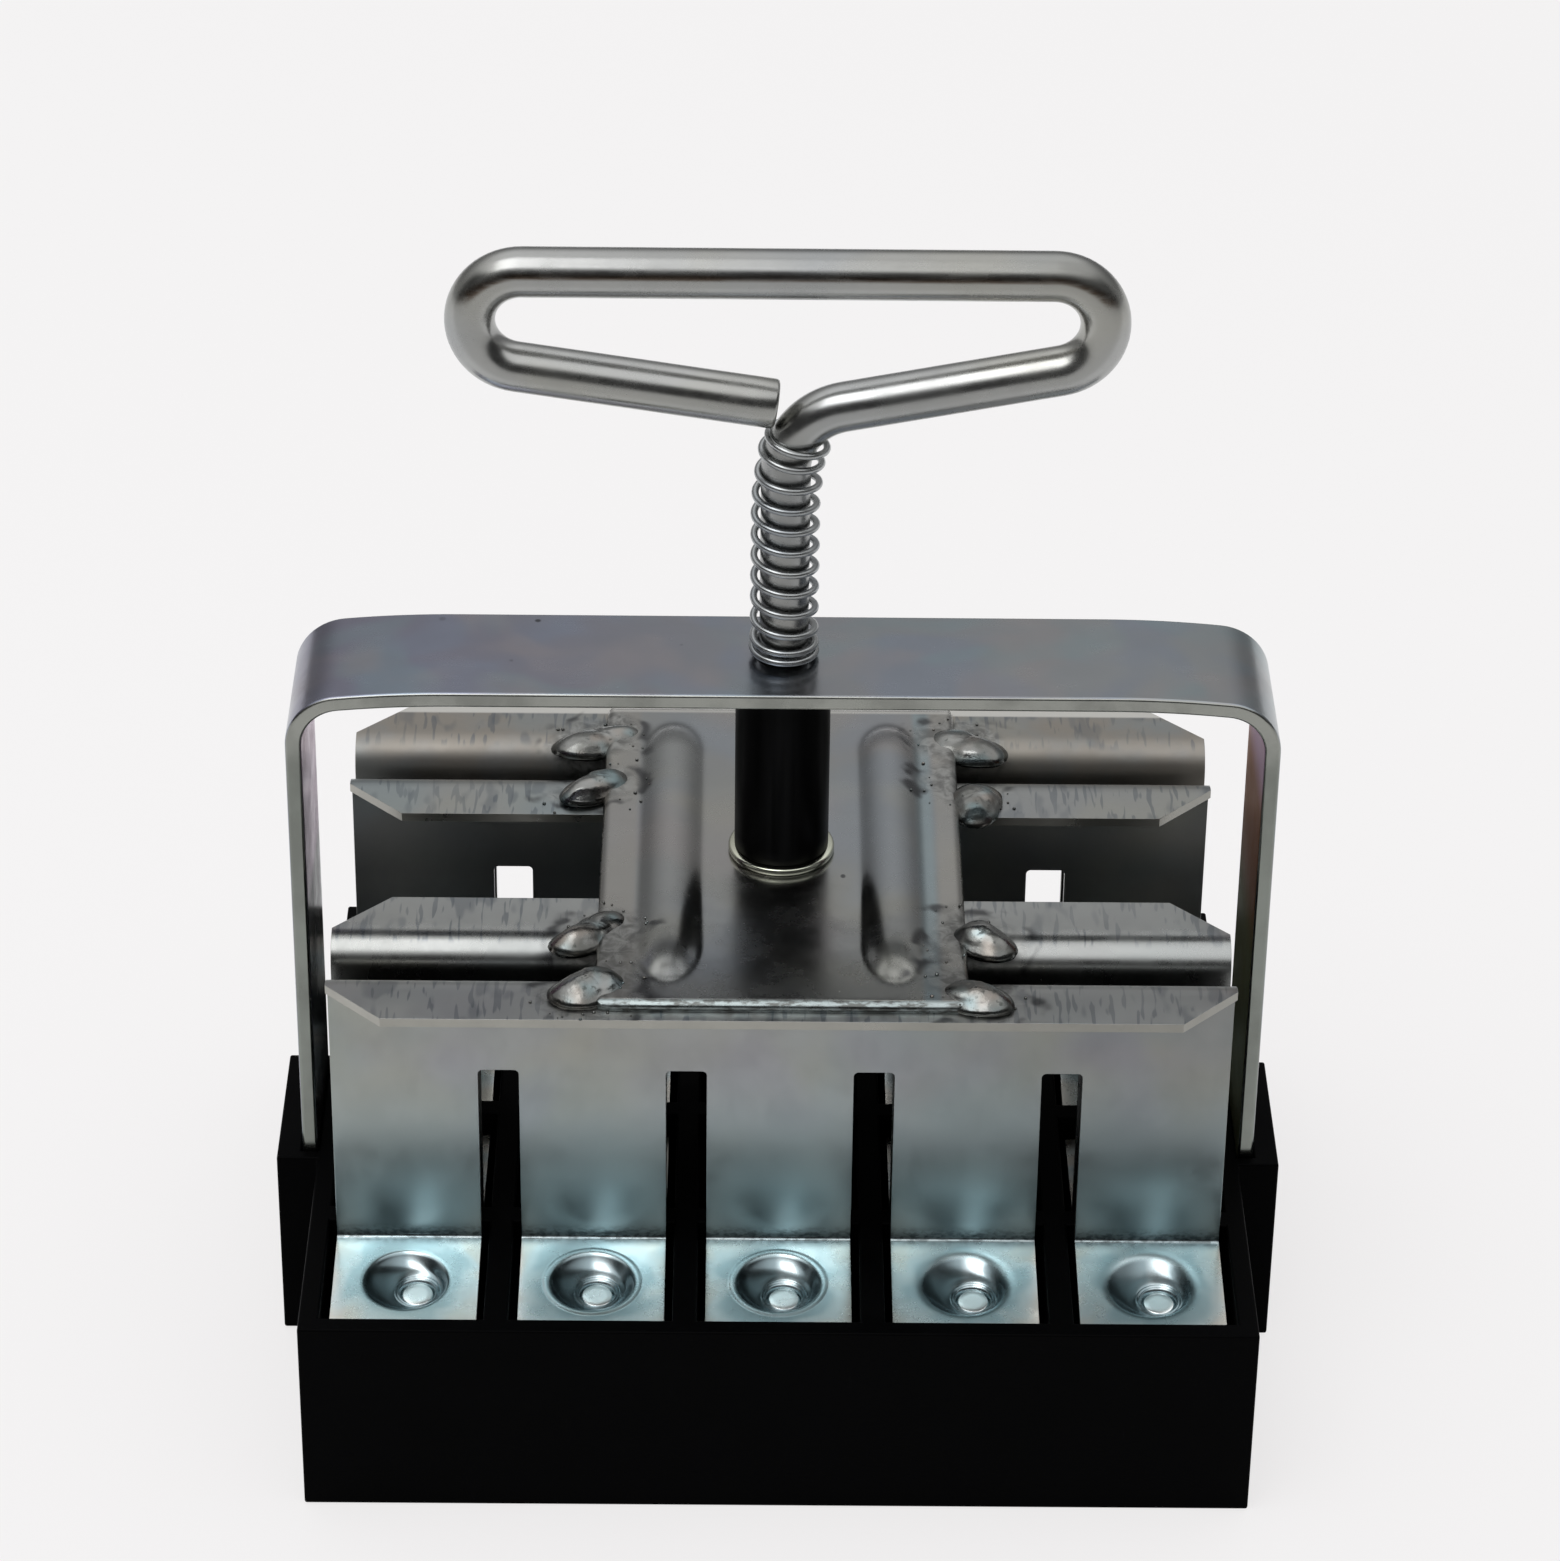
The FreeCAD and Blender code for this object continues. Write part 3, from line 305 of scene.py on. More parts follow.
class Shader:
    """A material with one Principled shader, and short calls for the nodes that feed it."""

    def __init__(self, name):
        self.material = bpy.data.materials.new(name)
        self.material.use_nodes = True
        self.nodes = self.material.node_tree.nodes
        self.links = self.material.node_tree.links
        self.surface = self.nodes["Principled BSDF"]
        self.place = self.nodes.new("ShaderNodeTexCoord").outputs["Object"]

    def link(self, source, target):
        if isinstance(source, bpy.types.NodeSocket):
            self.links.new(source, target)
        else:
            target.default_value = source

    def work(self, kind, operation, values):
        """Outputs of a node that does one operation on the values."""
        node = self.nodes.new(kind)
        node.operation = operation
        for value, socket in zip(values, node.inputs):
            self.link(value, socket)
        return node.outputs

    def math(self, operation, *values):
        return self.work("ShaderNodeMath", operation, values)[0]

    def vector(self, operation, *values):
        outputs = self.work("ShaderNodeVectorMath", operation, values)
        return outputs["Value" if operation in ("DISTANCE", "LENGTH") else "Vector"]

    def both(self, *shares):
        """Product of the shares."""
        result = shares[0]
        for share in shares[1:]:
            result = self.math("MULTIPLY", result, share)
        return result

    def noise(self, factors, detail=3.0, roughness=0.55, distortion=0.0, offset=0.0):
        """Noise whose waves are about 1 / factor millimetres, with one factor or one for each axis."""
        node = self.nodes.new("ShaderNodeTexNoise")
        settings = {"Scale": 1.0, "Detail": detail, "Roughness": roughness, "Distortion": distortion}
        for name, value in settings.items():
            node.inputs[name].default_value = value
        place = self.vector("MULTIPLY", self.place, [factor / MM for factor in three(factors)])
        self.links.new(self.vector("ADD", place, three(offset)), node.inputs["Vector"])
        return node.outputs["Fac"]

    def reading(self, name):
        """Place along "X", "Y" or "Z" in millimetres, or the surface normal's part "NX", "NY" or "NZ"."""
        split = self.nodes.new("ShaderNodeSeparateXYZ")
        if name.startswith("N"):
            self.links.new(self.nodes.new("ShaderNodeNewGeometry").outputs["Normal"], split.inputs[0])
            return split.outputs[name[1]]
        self.links.new(self.place, split.inputs[0])
        return self.math("DIVIDE", split.outputs[name], MM)

    def ramp(self, value, low, high, start=0.0, end=1.0):
        """A value or a named reading, from low to high, turned into start to end and held at both ends."""
        node = self.nodes.new("ShaderNodeMapRange")
        node.interpolation_type = "SMOOTHSTEP"
        value = self.reading(value) if isinstance(value, str) else value
        for socket, number in zip(node.inputs, (value, low, high, start, end)):
            self.link(number, socket)
        return node.outputs["Result"]

    def band(self, value, outer_low, inner_low, inner_high, outer_high):
        """Share that is 1 between the two inner places and 0 beyond the outer ones."""
        return self.both(self.ramp(value, outer_low, inner_low), self.ramp(value, outer_high, inner_high))

    def mix(self, share, first, second, blend="MIX"):
        """Colour between first and second."""
        node = self.nodes.new("ShaderNodeMix")
        node.data_type = "RGBA"
        node.blend_type = blend
        self.link(share, node.inputs["Factor"])
        for socket, colour in zip((node.inputs["A"], node.inputs["B"]), (first, second)):
            self.link(colour if isinstance(colour, bpy.types.NodeSocket) else (*colour, 1.0), socket)
        return node.outputs["Result"]

    def bump(self, height, distance):
        """Bump from a height of 0 to 1 that stands for a distance in millimetres."""
        node = self.nodes.new("ShaderNodeBump")
        node.inputs["Strength"].default_value = 1.0
        node.inputs["Distance"].default_value = distance * MM
        self.links.new(height, node.inputs["Height"])
        self.links.new(node.outputs["Normal"], self.surface.inputs["Normal"])

    def set(self, **values):
        for name, value in values.items():
            self.link((*value, 1.0) if isinstance(value, tuple) else value,
                      self.surface.inputs[name.replace("_", " ")])


def weld_places():
    return [sum(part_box(f"weld_r{row}_{side}"), Vector()) / 2 for row in range(1, ROWS + 1) for side in SIDES]


class Plating(Shader):
    """Zinc plate: soft grey metal whose colour, roughness and relief are built up layer by layer."""

    def __init__(self, name, base, roughness, grain=0.5):
        super().__init__(name)
        self.colour = base
        cloud = self.noise(0.14, detail=4.0, roughness=0.6, offset=31.0)
        fine = self.noise(grain, detail=4.0, roughness=0.65, offset=11.0)
        lumps = self.noise(0.16, detail=2.0, offset=3.0)
        self.cover(self.ramp(cloud, 0.3, 0.72, 0.0, 0.3), [0.8 * c for c in base])
        self.cover(self.ramp(fine, 0.55, 0.75, 0.0, 0.12), [0.65 * c for c in base])
        self.rough = self.math("ADD", roughness, self.ramp(cloud, 0.3, 0.7, -0.03, 0.05))
        self.roughen(self.ramp(fine, 0.3, 0.7, -0.015, 0.02))
        self.height = self.math("ADD", self.both(fine, 0.2), self.both(lumps, 2.0))

    def cover(self, share, colour):
        self.colour = self.mix(share, self.colour, colour)

    def darken(self, share, level):
        self.colour = self.mix(share, self.colour, three(level), blend="MULTIPLY")

    def roughen(self, amount):
        self.rough = self.math("ADD", self.rough, amount)

    def tint(self, *colours, size=0.05):
        """Passivate tints, as (colour, share), in wide soft patches."""
        for number, (colour, share) in enumerate(colours):
            patch = self.noise(size, detail=1.5, distortion=0.4, offset=7.3 * number + 1.1)
            self.cover(self.ramp(patch, 0.46, 0.66, 0.0, share), colour)

    def tool_marks(self):
        """Short bluish marks that the press left along Y on faces that look up: a few thin, others soft."""
        top = self.ramp("NZ", 0.8, 0.97)
        place = self.noise(0.06, detail=1.0, offset=77.0)
        for factors, low, high, share, offset in (((1.3, 0.17, 0.17), 0.57, 0.63, 0.5, 57.0),
                                                  ((0.42, 0.15, 0.15), 0.55, 0.68, 0.4, 66.0)):
            tick = self.ramp(self.noise(factors, detail=1.0, offset=offset), low, high)
            self.cover(self.both(tick, top, self.ramp(place, 0.35, 0.6, 0.25, share)), (0.085, 0.105, 0.13))

    def mark(self, place, size, share=0.8):
        """One dark soft mark at a place, with its half size or sizes, in millimetres."""
        offset = self.vector("SUBTRACT", self.place, [value * MM for value in place])
        reach = self.vector("LENGTH", self.vector("DIVIDE", offset, [value * MM for value in three(size)]))
        self.cover(self.ramp(reach, 0.5, 1.2, share, 0.0), (0.04, 0.04, 0.045))

    def scorch(self):
        """Heat mark round each weld: a mottled dull pool, and a blurred dark contour that comes and goes."""
        near = None
        for place in weld_places():
            distance = self.vector("DISTANCE", self.place, tuple(place))
            near = distance if near is None else self.math("MINIMUM", near, distance)
        wander = self.noise(0.13, detail=1.0, offset=91.0)
        near = self.math("ADD", self.math("DIVIDE", near, MM), self.ramp(wander, 0.25, 0.75, -1.6, 1.6))
        pool = self.ramp(near, 7.2, 3.6)
        mottle = self.noise(0.6, detail=4.0, roughness=0.6, distortion=0.6, offset=17.0)
        burnt = self.mix(self.ramp(mottle, 0.35, 0.65), (0.14, 0.14, 0.135), (0.37, 0.37, 0.355))
        self.cover(self.both(pool, 0.8), burnt)
        contour = self.band(near, 5.4, 6.6, 7.0, 8.4)
        broken = self.ramp(self.noise(0.2, detail=2.0, offset=44.0), 0.50, 0.62)
        self.cover(self.both(contour, broken, 0.85), (0.055, 0.055, 0.058))
        self.roughen(self.both(pool, 0.08))
        self.height = self.math("ADD", self.height, self.both(mottle, pool, 6.0))

    def finish(self, relief=0.006):
        """Set the shader, with a relief whose unit of height is given in millimetres."""
        self.set(Base_Color=self.colour, Metallic=1.0, Roughness=self.rough)
        self.bump(self.height, relief)
        return self.material


GREY = (0.325, 0.33, 0.325)
BLUE_GREY, STEEL_BLUE = (0.28, 0.31, 0.35), (0.24, 0.28, 0.36)
LAVENDER, ROSE = (0.31, 0.285, 0.36), (0.38, 0.33, 0.32)
STRAW, TEAL = (0.41, 0.39, 0.31), (0.25, 0.34, 0.36)
CYAN, PALE_CYAN = (0.45, 0.55, 0.57), (0.86, 0.95, 0.95)
CREAM, VIOLET = (0.40, 0.39, 0.355), (0.56, 0.38, 0.52)
PALE_CREAM, SEA, STEEL = (0.95, 0.92, 0.84), (0.62, 0.77, 0.80), (0.29, 0.37, 0.395)
COPPER, OLIVE, TAN = (0.34, 0.15, 0.08), (0.2, 0.21, 0.11), (0.34, 0.31, 0.27)
# Painted highlight colour for the pale lines along the rear edges.
REAR_EDGE_HIGHLIGHT = (0.62, 0.605, 0.57)


def comb_zinc(front):
    """Combs: tool marks on the flanges, welds' heat marks, painted shade and light in places and, on the front
    comb, bluish feet painted bright.
    """
    look = Plating("front_comb_look" if front else "comb_look", GREY, 0.32, grain=(0.8, 0.8, 0.3))
    foot, back, rear = FOOT_TOP / MM, COMB_HIGH.y / MM, PLATE_HIGH.y / MM
    if front:
        look.cover(0.7, (0.385, 0.39, 0.38))
        look.tint((STRAW, 0.45), (LAVENDER, 0.3), (TEAL, 0.25))
        look.cover(look.ramp("Z", foot + 30, foot + 5), CYAN)
        # Painted light: faces that look up are made paler.
        look.cover(look.ramp("NZ", 0.8, 0.97, 0.0, 0.7), (0.44, 0.445, 0.435))
        # Painted shade: upright faces grow darker towards the right, away from the lamp.
        look.darken(look.both(look.ramp("NZ", 0.5, 0.1), look.ramp("X", -5, 45, 0.15, 0.7)), 0.6)
        # Painted reflection of the bright feet: pale cyan low on the web.
        look.cover(look.ramp("Z", foot + 4, foot + 13, 0.75, 0.0), (0.56, 0.71, 0.74))
        # Painted shade on the web's back, which faces the comb behind it.
        look.darken(look.ramp("Y", back - 1.0, back - 0.6), 0.35)
    else:
        look.tint((STRAW, 0.3), (BLUE_GREY, 0.4), (TEAL, 0.3))
        # Painted light: the combs are made paler towards the front.
        look.cover(look.ramp("Y", -5, 12, 0.8, 0.0), (0.37, 0.375, 0.365))
        # Painted shade on steep faces under the second comb's bend.
        steep = look.ramp("NZ", 0.6, 0.2)
        look.darken(look.both(steep, look.ramp("Z", 56, 60), look.ramp("Y", -8, -12)), 0.5)
        # Painted shade on the webs low down, between the combs.
        look.darken(look.ramp("Z", 50, 61.5, 0.85, 0.0), 0.36)
        # Last comb: tan patches of tint, and darker overall as painted shade under the strap.
        last = look.ramp("Y", 18, 26)
        look.cover(look.both(last, look.ramp(look.noise(0.1, offset=83.0), 0.35, 0.6, 0.3, 0.9)), TAN)
        look.darken(last, 0.85)
        look.roughen(look.both(last, 0.17))
        look.roughen(look.ramp("Y", -14.5, -16.5, 0.0, -0.05))
        # Painted shade that dims the highlight on the left of the second comb's bend.
        look.darken(look.both(look.ramp("Y", -16.0, -17.5), look.ramp("X", 0, -20)), 0.8)
        # Painted shade where the third and fourth combs stand back to back.
        back += 2 * PITCH / MM
        look.darken(look.band("Y", back - 1.0, back - 0.6, back + 1, back + 2), 0.35)
    look.tool_marks()
    # Painted highlight: a pale line on the flange just behind the plate's rear edge.
    look.cover(look.both(look.ramp("Y", rear - 0.2, rear + 0.3), look.ramp("Z", 60, 62)), REAR_EDGE_HIGHLIGHT)
    add_foot_tints(look, foot)
    look.scorch()
    return look.finish()


def add_foot_tints(look, foot):
    """Feet: pale cyan with sea blue rings round the dishes and cream corners, made bright as painted light;
    painted shade along the fold, to the right and in the dishes, a painted highlight in each dish and a
    painted reflection of each dish on the web.
    """
    across = look.math("WRAP", look.reading("X"), PITCH / MM / 2, -PITCH / MM / 2)
    depth = look.math("SUBTRACT", look.math("ABSOLUTE", look.reading("Y")), PITCH / MM)
    along = look.math("SUBTRACT", look.math("ABSOLUTE", depth), DISH_Y / MM)
    reach = look.math("SQRT", look.math("ADD", look.both(across, across), look.both(along, along)))
    wander = look.ramp(look.noise(0.16, detail=1.0, distortion=0.4, offset=19.0), 0.25, 0.75, -1.8, 1.8)
    ring = look.math("ADD", reach, wander)
    tint = look.mix(look.ramp(ring, 6.0, 8.4), SEA, PALE_CYAN)
    tint = look.mix(look.ramp(ring, 8.2, 11.0), tint, PALE_CREAM)
    flat = look.ramp("Z", foot + 0.6, foot + 0.2)
    low = look.both(flat, look.ramp("NZ", 0.2, 0.8))
    # Painted light: the feet are painted near white over their tints, for the light that they catch.
    look.cover(look.both(low, 0.95), tint)
    # Painted shade: the feet grow darker towards the right, away from the lamp.
    look.darken(look.both(low, look.ramp("X", -5, 50, 0.0, 0.8)), 0.7)
    bowl = look.both(look.ramp(reach, 5.5, 4.9), flat)
    look.cover(bowl, STEEL)
    # Painted shade on the left side of each dish.
    look.darken(look.both(bowl, look.ramp(across, 0.2, -3.2)), 0.4)
    # Painted highlight on the far wall of each dish, behind the pin.
    painted_dish_highlight = look.both(look.band(across, -0.6, 0.6, 1.8, 3.2), look.ramp(along, -0.4, -1.6), 0.7)
    look.cover(look.both(bowl, painted_dish_highlight), (0.62, 0.70, 0.72))
    look.roughen(look.both(flat, look.ramp(reach, 4.9, 5.5, -0.1, -0.06)))
    # Painted shade that dims the fold line.
    fold = look.band("Z", foot - 0.15, foot + 0.05, foot + 0.6, foot + 1.2)
    look.cover(look.both(fold, 0.8), (0.40, 0.49, 0.52))
    # Mottled painted shade in the crease along the fold.
    crease_shade_mottle = look.ramp(look.noise((1.1, 1.1, 2.0), offset=13.0), 0.4, 0.62, 0.35, 1.0)
    bend = look.band("Z", foot - 0.1, foot + 0.15, foot + 0.5, foot + 2.4)
    look.darken(look.both(bend, crease_shade_mottle, 0.9), 0.3)
    # Painted reflection of each dish: a dark cloud on the web just above the foot.
    cloud = look.ramp(look.math("ABSOLUTE", look.math("ADD", across, 2.1)), 3.8, 0.6)
    look.darken(look.both(cloud, look.band("Z", foot + 0.6, foot + 2.0, foot + 4.0, foot + 9.0)), 0.66)


def sheared_edge():
    """Cut edges of the comb sheet: paler and creamier than its faces, with painted shade towards the right and
    low down between the combs.
    """
    look = Plating("sheared_edge_look", CREAM, 0.3, grain=0.9)
    # Painted shade: darker towards the right.
    look.darken(look.ramp("X", -10, 40), 0.8)
    # Painted shade low down between the combs.
    look.darken(look.both(look.ramp("Y", -25, -21), look.ramp("Z", 62, 50)), 0.35)
    return look.finish(0.01)


def plate_zinc():
    """Bridge plate: warm strips down both sides, scorched welds, dross along its front edge and a painted
    highlight along its rear edge.
    """
    look = Plating("plate_look", (0.305, 0.31, 0.305), 0.24)
    front, rear = PLATE_LOW.y / MM, PLATE_HIGH.y / MM
    look.tint((ROSE, 0.35), (BLUE_GREY, 0.5), (STRAW, 0.25))
    look.cover(look.ramp("X", 19.0, 20.0, 0.0, 0.6), (0.38, 0.36, 0.325))
    look.cover(look.ramp("X", -17.6, -18.6, 0.0, 0.6), (0.345, 0.325, 0.295))
    look.cover(look.both(look.band("X", 16.6, 17.6, 18.6, 19.6), 0.7), (0.30, 0.37, 0.39))
    look.scorch()
    dross = look.ramp(look.noise((0.45, 1.0, 1.5), detail=4.0, roughness=0.65, offset=71.0), 0.42, 0.6)
    strip = look.mix(dross, (0.31, 0.35, 0.35), (0.12, 0.125, 0.12))
    look.cover(look.ramp("Y", front + 1.0, front + 0.7), strip)
    # Painted highlight: a pale strip along the plate's rear edge.
    look.cover(look.ramp("Y", rear - 1.9, rear - 1.3), REAR_EDGE_HIGHLIGHT)
    look.mark((7.65, -6.2, PLATE_TOP / MM), (0.35, 0.5, 1.0))
    return look.finish()


def strap_zinc():
    """Strap: violet and blue on the left, paler with teal patches on the right, inner faces heat tinted.
    Darker on the left and paler on the right is partly painted shade and light, and the left inner face is
    painted black low down as painted shade.
    """
    look = Plating("strap_look", (0.29, 0.30, 0.315), 0.22, grain=(0.25, 1.2, 0.25))
    # Painted shade and light: darker and bluer on the left, paler on the right, over the violet and blue tint.
    look.cover(look.ramp("X", -60, 15, 0.8, 0.0), (0.22, 0.21, 0.28))
    look.cover(look.ramp("X", 5, 60, 0.0, 0.45), (0.36, 0.38, 0.38))
    look.tint((STEEL_BLUE, 0.45), (TEAL, 0.35), (ROSE, 0.3), size=0.08)
    front = look.ramp(look.math("ABSOLUTE", look.reading("NY")), 0.5, 0.75)
    edge = look.mix(look.ramp("Z", 82, 90), (0.25, 0.265, 0.24), (0.37, 0.375, 0.345))
    streak = look.noise((0.12, 1.5, 0.12), detail=4.0, roughness=0.6, offset=29.0)
    look.cover(front, look.mix(look.ramp(streak, 0.4, 0.7, 0.0, 0.5), edge, (0.17, 0.175, 0.16)))
    left = look.both(look.ramp("NX", 0.7, 0.95), look.ramp("X", -40, -50))
    right = look.both(look.ramp("NX", -0.7, -0.95), look.ramp("X", 40, 50))
    look.cover(left, VIOLET)
    # Painted shade: the left leg's inner face turns black low down.
    look.cover(look.both(left, look.ramp("Z", 66, 62)), (0.04, 0.035, 0.04))
    look.cover(right, look.mix(look.ramp("Z", 77, 84), COPPER, VIOLET))
    look.cover(look.both(right, look.ramp("Z", 66, 56)), OLIVE)
    look.roughen(look.both(right, 0.25))
    for x, y, size, share in ((-30.3, 8.0, 0.42, 0.85), (-42.1, 8.3, 0.5, 0.3),
                              (-33.2, -1.7, 0.3, 0.3), (-12.5, 2.4, 0.25, 0.25)):
        look.mark((x, y, STRAP_HIGH.z / MM), size, share)
    return look.finish()


def rod_zinc():
    """Bent rod: satin and pale, with painted shade on the grip's top and inside the spring, a streaked painted
    dark reflection along the grip's front, and a nick on the grip.
    """
    look = Plating("rod_look", (0.405, 0.405, 0.395), 0.25, grain=(0.6, 1.6, 1.6))
    look.tint((STRAW, 0.25), (BLUE_GREY, 0.2))
    # Painted shade of the coil: darker low down, inside the spring.
    look.darken(look.ramp("Z", 122, 128, 0.8, 0.0), 0.75)
    top = ROD_HIGH.z / MM
    # Painted shade on the top of the grip, stronger towards the right.
    grip = look.ramp("Z", top - 6.5, top - 4.5)
    up = look.both(look.ramp("NZ", 0.45, 0.72), look.ramp("NZ", 0.84, 0.95, 1.0, 0.6))
    look.darken(look.both(grip, up, look.ramp("X", -45, 0, 0.6, 1.0)), 0.66)
    # Painted reflection: a dark streaked band along the grip's front, under its highlight.
    streak = look.ramp(look.noise((0.12, 1.5, 1.5), roughness=0.6, offset=37.0), 0.3, 0.6, 0.45, 0.95)
    front = look.both(look.band("NZ", 0.08, 0.22, 0.30, 0.47), look.ramp("NY", -0.6, -0.85))
    look.cover(look.both(grip, front, streak), (0.14, 0.105, 0.08))
    look.mark((34.9, -1.7, top - 0.6), (0.9, 0.3, 0.5))
    return look.finish(0.008)


def small_zinc(name, base, tint, roughness):
    """Washer, rivets, spring wire and pins."""
    look = Plating(name, base, roughness)
    look.tint((tint, 0.35), size=0.12)
    return look.finish()


def block_plastic():
    """Black moulded plastic: fine spark grain and a few faint scuffs."""
    shader = Shader("block_plastic_look")
    grain = shader.noise(2.6, roughness=0.6)
    cloud = shader.noise(0.10, offset=5.0)
    scuff = shader.noise((0.9, 0.9, 0.12), detail=4.0, roughness=0.7, offset=23.0)
    colour = shader.mix(shader.ramp(cloud, 0.3, 0.7), (0.0007, 0.0007, 0.0008), (0.0013, 0.0013, 0.0015))
    colour = shader.mix(shader.ramp(scuff, 0.66, 0.8, 0.0, 0.4), colour, (0.006, 0.006, 0.007))
    shader.set(Base_Color=colour, Roughness=shader.ramp(cloud, 0.3, 0.7, 0.42, 0.56), IOR=1.09)
    shader.bump(shader.math("ADD", grain, shader.both(scuff, 0.5)), 0.012)
    return shader.material


def sleeve_plastic():
    """Black extruded tube with faint draw lines and a painted highlight: a band of sheen down its front."""
    shader = Shader("sleeve_plastic_look")
    lines = shader.noise((0.5, 0.5, 0.02), detail=2.0, roughness=0.5)
    colour = shader.mix(shader.ramp(lines, 0.35, 0.7), (0.001, 0.001, 0.0011), (0.0022, 0.0022, 0.0024))
    # Painted highlight: a faint paler band down the tube's front.
    painted_sheen = shader.both(shader.band("X", -3.4, -0.6, -0.4, 3.0), shader.ramp(lines, 0.35, 0.6, 0.25, 1.0))
    colour = shader.mix(painted_sheen, colour, (0.009, 0.009, 0.0095))
    shader.set(Base_Color=colour, Roughness=shader.ramp(lines, 0.3, 0.7, 0.32, 0.42), IOR=1.1)
    shader.bump(lines, 0.004)
    return shader.material


def weld_metal():
    """Plated bead: satin grey with cyan and brown casts in places, a few pores and a darker foot, which is
    partly burnt metal and partly painted shade where the bead meets the plate.
    """
    shader = Shader("weld_metal_look")
    mottle = shader.noise(0.30, detail=2.0, offset=2.0)
    pits = shader.noise(0.9, roughness=0.6, offset=8.0)
    colour = shader.mix(shader.ramp(mottle, 0.3, 0.7), (0.14, 0.14, 0.13), (0.27, 0.27, 0.26))
    for offset, tint in ((41.0, (0.20, 0.29, 0.31)), (52.0, (0.26, 0.22, 0.19))):
        patch = shader.noise(0.3, detail=1.0, offset=offset)
        colour = shader.mix(shader.ramp(patch, 0.45, 0.75, 0.0, 0.6), colour, tint)
    colour = shader.mix(shader.ramp(pits, 0.60, 0.70, 0.0, 0.7), colour, (0.05, 0.055, 0.05))
    # Darker foot: partly burnt metal, partly painted shade where the bead meets the plate.
    burnt_foot_and_shade = shader.ramp("Z", PLATE_TOP / MM - 1.2, PLATE_TOP / MM + 1.0, 0.5, 0.0)
    colour = shader.mix(burnt_foot_and_shade, colour, (0.06, 0.06, 0.055))
    shader.set(Base_Color=colour, Metallic=1.0, Roughness=shader.ramp(mottle, 0.35, 0.65, 0.30, 0.17))
    shader.bump(shader.math("ADD", shader.both(pits, 0.7), mottle), 0.07)
    return shader.material


# ---------------------------------------------------------------------------------------------
# Mould block and rivets
# ---------------------------------------------------------------------------------------------
def block_columns():
    """Grid lines across X, from left to right: boss, socket and block faces, and the sides of the cells."""
    lines = [-BLOCK_HIGH.x, -SOCKET_X, -BLOCK_X]
    for column in range(COLUMNS):
        start = -INNER_X + column * PITCH
        lines += [start, start + CELL]
    return lines + [BLOCK_X, SOCKET_X, BLOCK_HIGH.x]


def block_rows():
    """Grid lines along Y, from front to back: block, boss and socket faces, and the sides of the cells."""
    lines = [-BLOCK_Y, BLOCK_Y, -BOSS_HALF, BOSS_HALF, -SOCKET_Y, SOCKET_Y]
    for row in range(ROWS):
        start = -INNER_Y + row * PITCH
        lines += [start, start + CELL]
    return sorted(lines)


def make_mould_block(material):
    """Lattice built from grid cells: solid where there is plastic, open where there is a cell or socket."""
    columns, rows, levels = block_columns(), block_rows(), [0.0, SOCKET_FLOOR, BLOCK_HIGH.z]

    def solid(i, j, k):
        x, y = (columns[i] + columns[i + 1]) / 2, (rows[j] + rows[j + 1]) / 2
        if abs(x) > BLOCK_X:
            in_socket = k > 0 and abs(x) < SOCKET_X and abs(y) < SOCKET_Y
            return abs(y) < BOSS_HALF and not in_socket
        across = (x + INNER_X) % PITCH < CELL and abs(x) < INNER_X
        along = (y + INNER_Y) % PITCH < CELL and abs(y) < INNER_Y
        return not (across and along)

    spans = [(i, j, k) for i in range(len(columns) - 1) for j in range(len(rows) - 1)
             for k in range(len(levels) - 1) if solid(i, j, k)]
    filled = set(spans)
    points, index, faces = [], {}, []

    def corner(i, j, k):
        if (i, j, k) not in index:
            index[(i, j, k)] = len(points)
            points.append(Vector((columns[i], rows[j], levels[k])))
        return index[(i, j, k)]

    walls = {(-1, 0, 0): ((0, 0, 0), (0, 0, 1), (0, 1, 1), (0, 1, 0)),
             (1, 0, 0): ((1, 0, 0), (1, 1, 0), (1, 1, 1), (1, 0, 1)),
             (0, -1, 0): ((0, 0, 0), (1, 0, 0), (1, 0, 1), (0, 0, 1)),
             (0, 1, 0): ((0, 1, 0), (0, 1, 1), (1, 1, 1), (1, 1, 0)),
             (0, 0, -1): ((0, 0, 0), (0, 1, 0), (1, 1, 0), (1, 0, 0)),
             (0, 0, 1): ((0, 0, 1), (1, 0, 1), (1, 1, 1), (0, 1, 1))}
    for i, j, k in spans:
        for (a, b, c), corners in walls.items():
            if (i + a, j + b, k + c) not in filled:
                faces.append(tuple(corner(i + u, j + v, k + w) for u, v, w in corners))
    piece = new_piece("mould_shell", points, faces, "mould", material, ["mould_block"])
    return soften(piece, BLOCK_EDGE, segments=3)


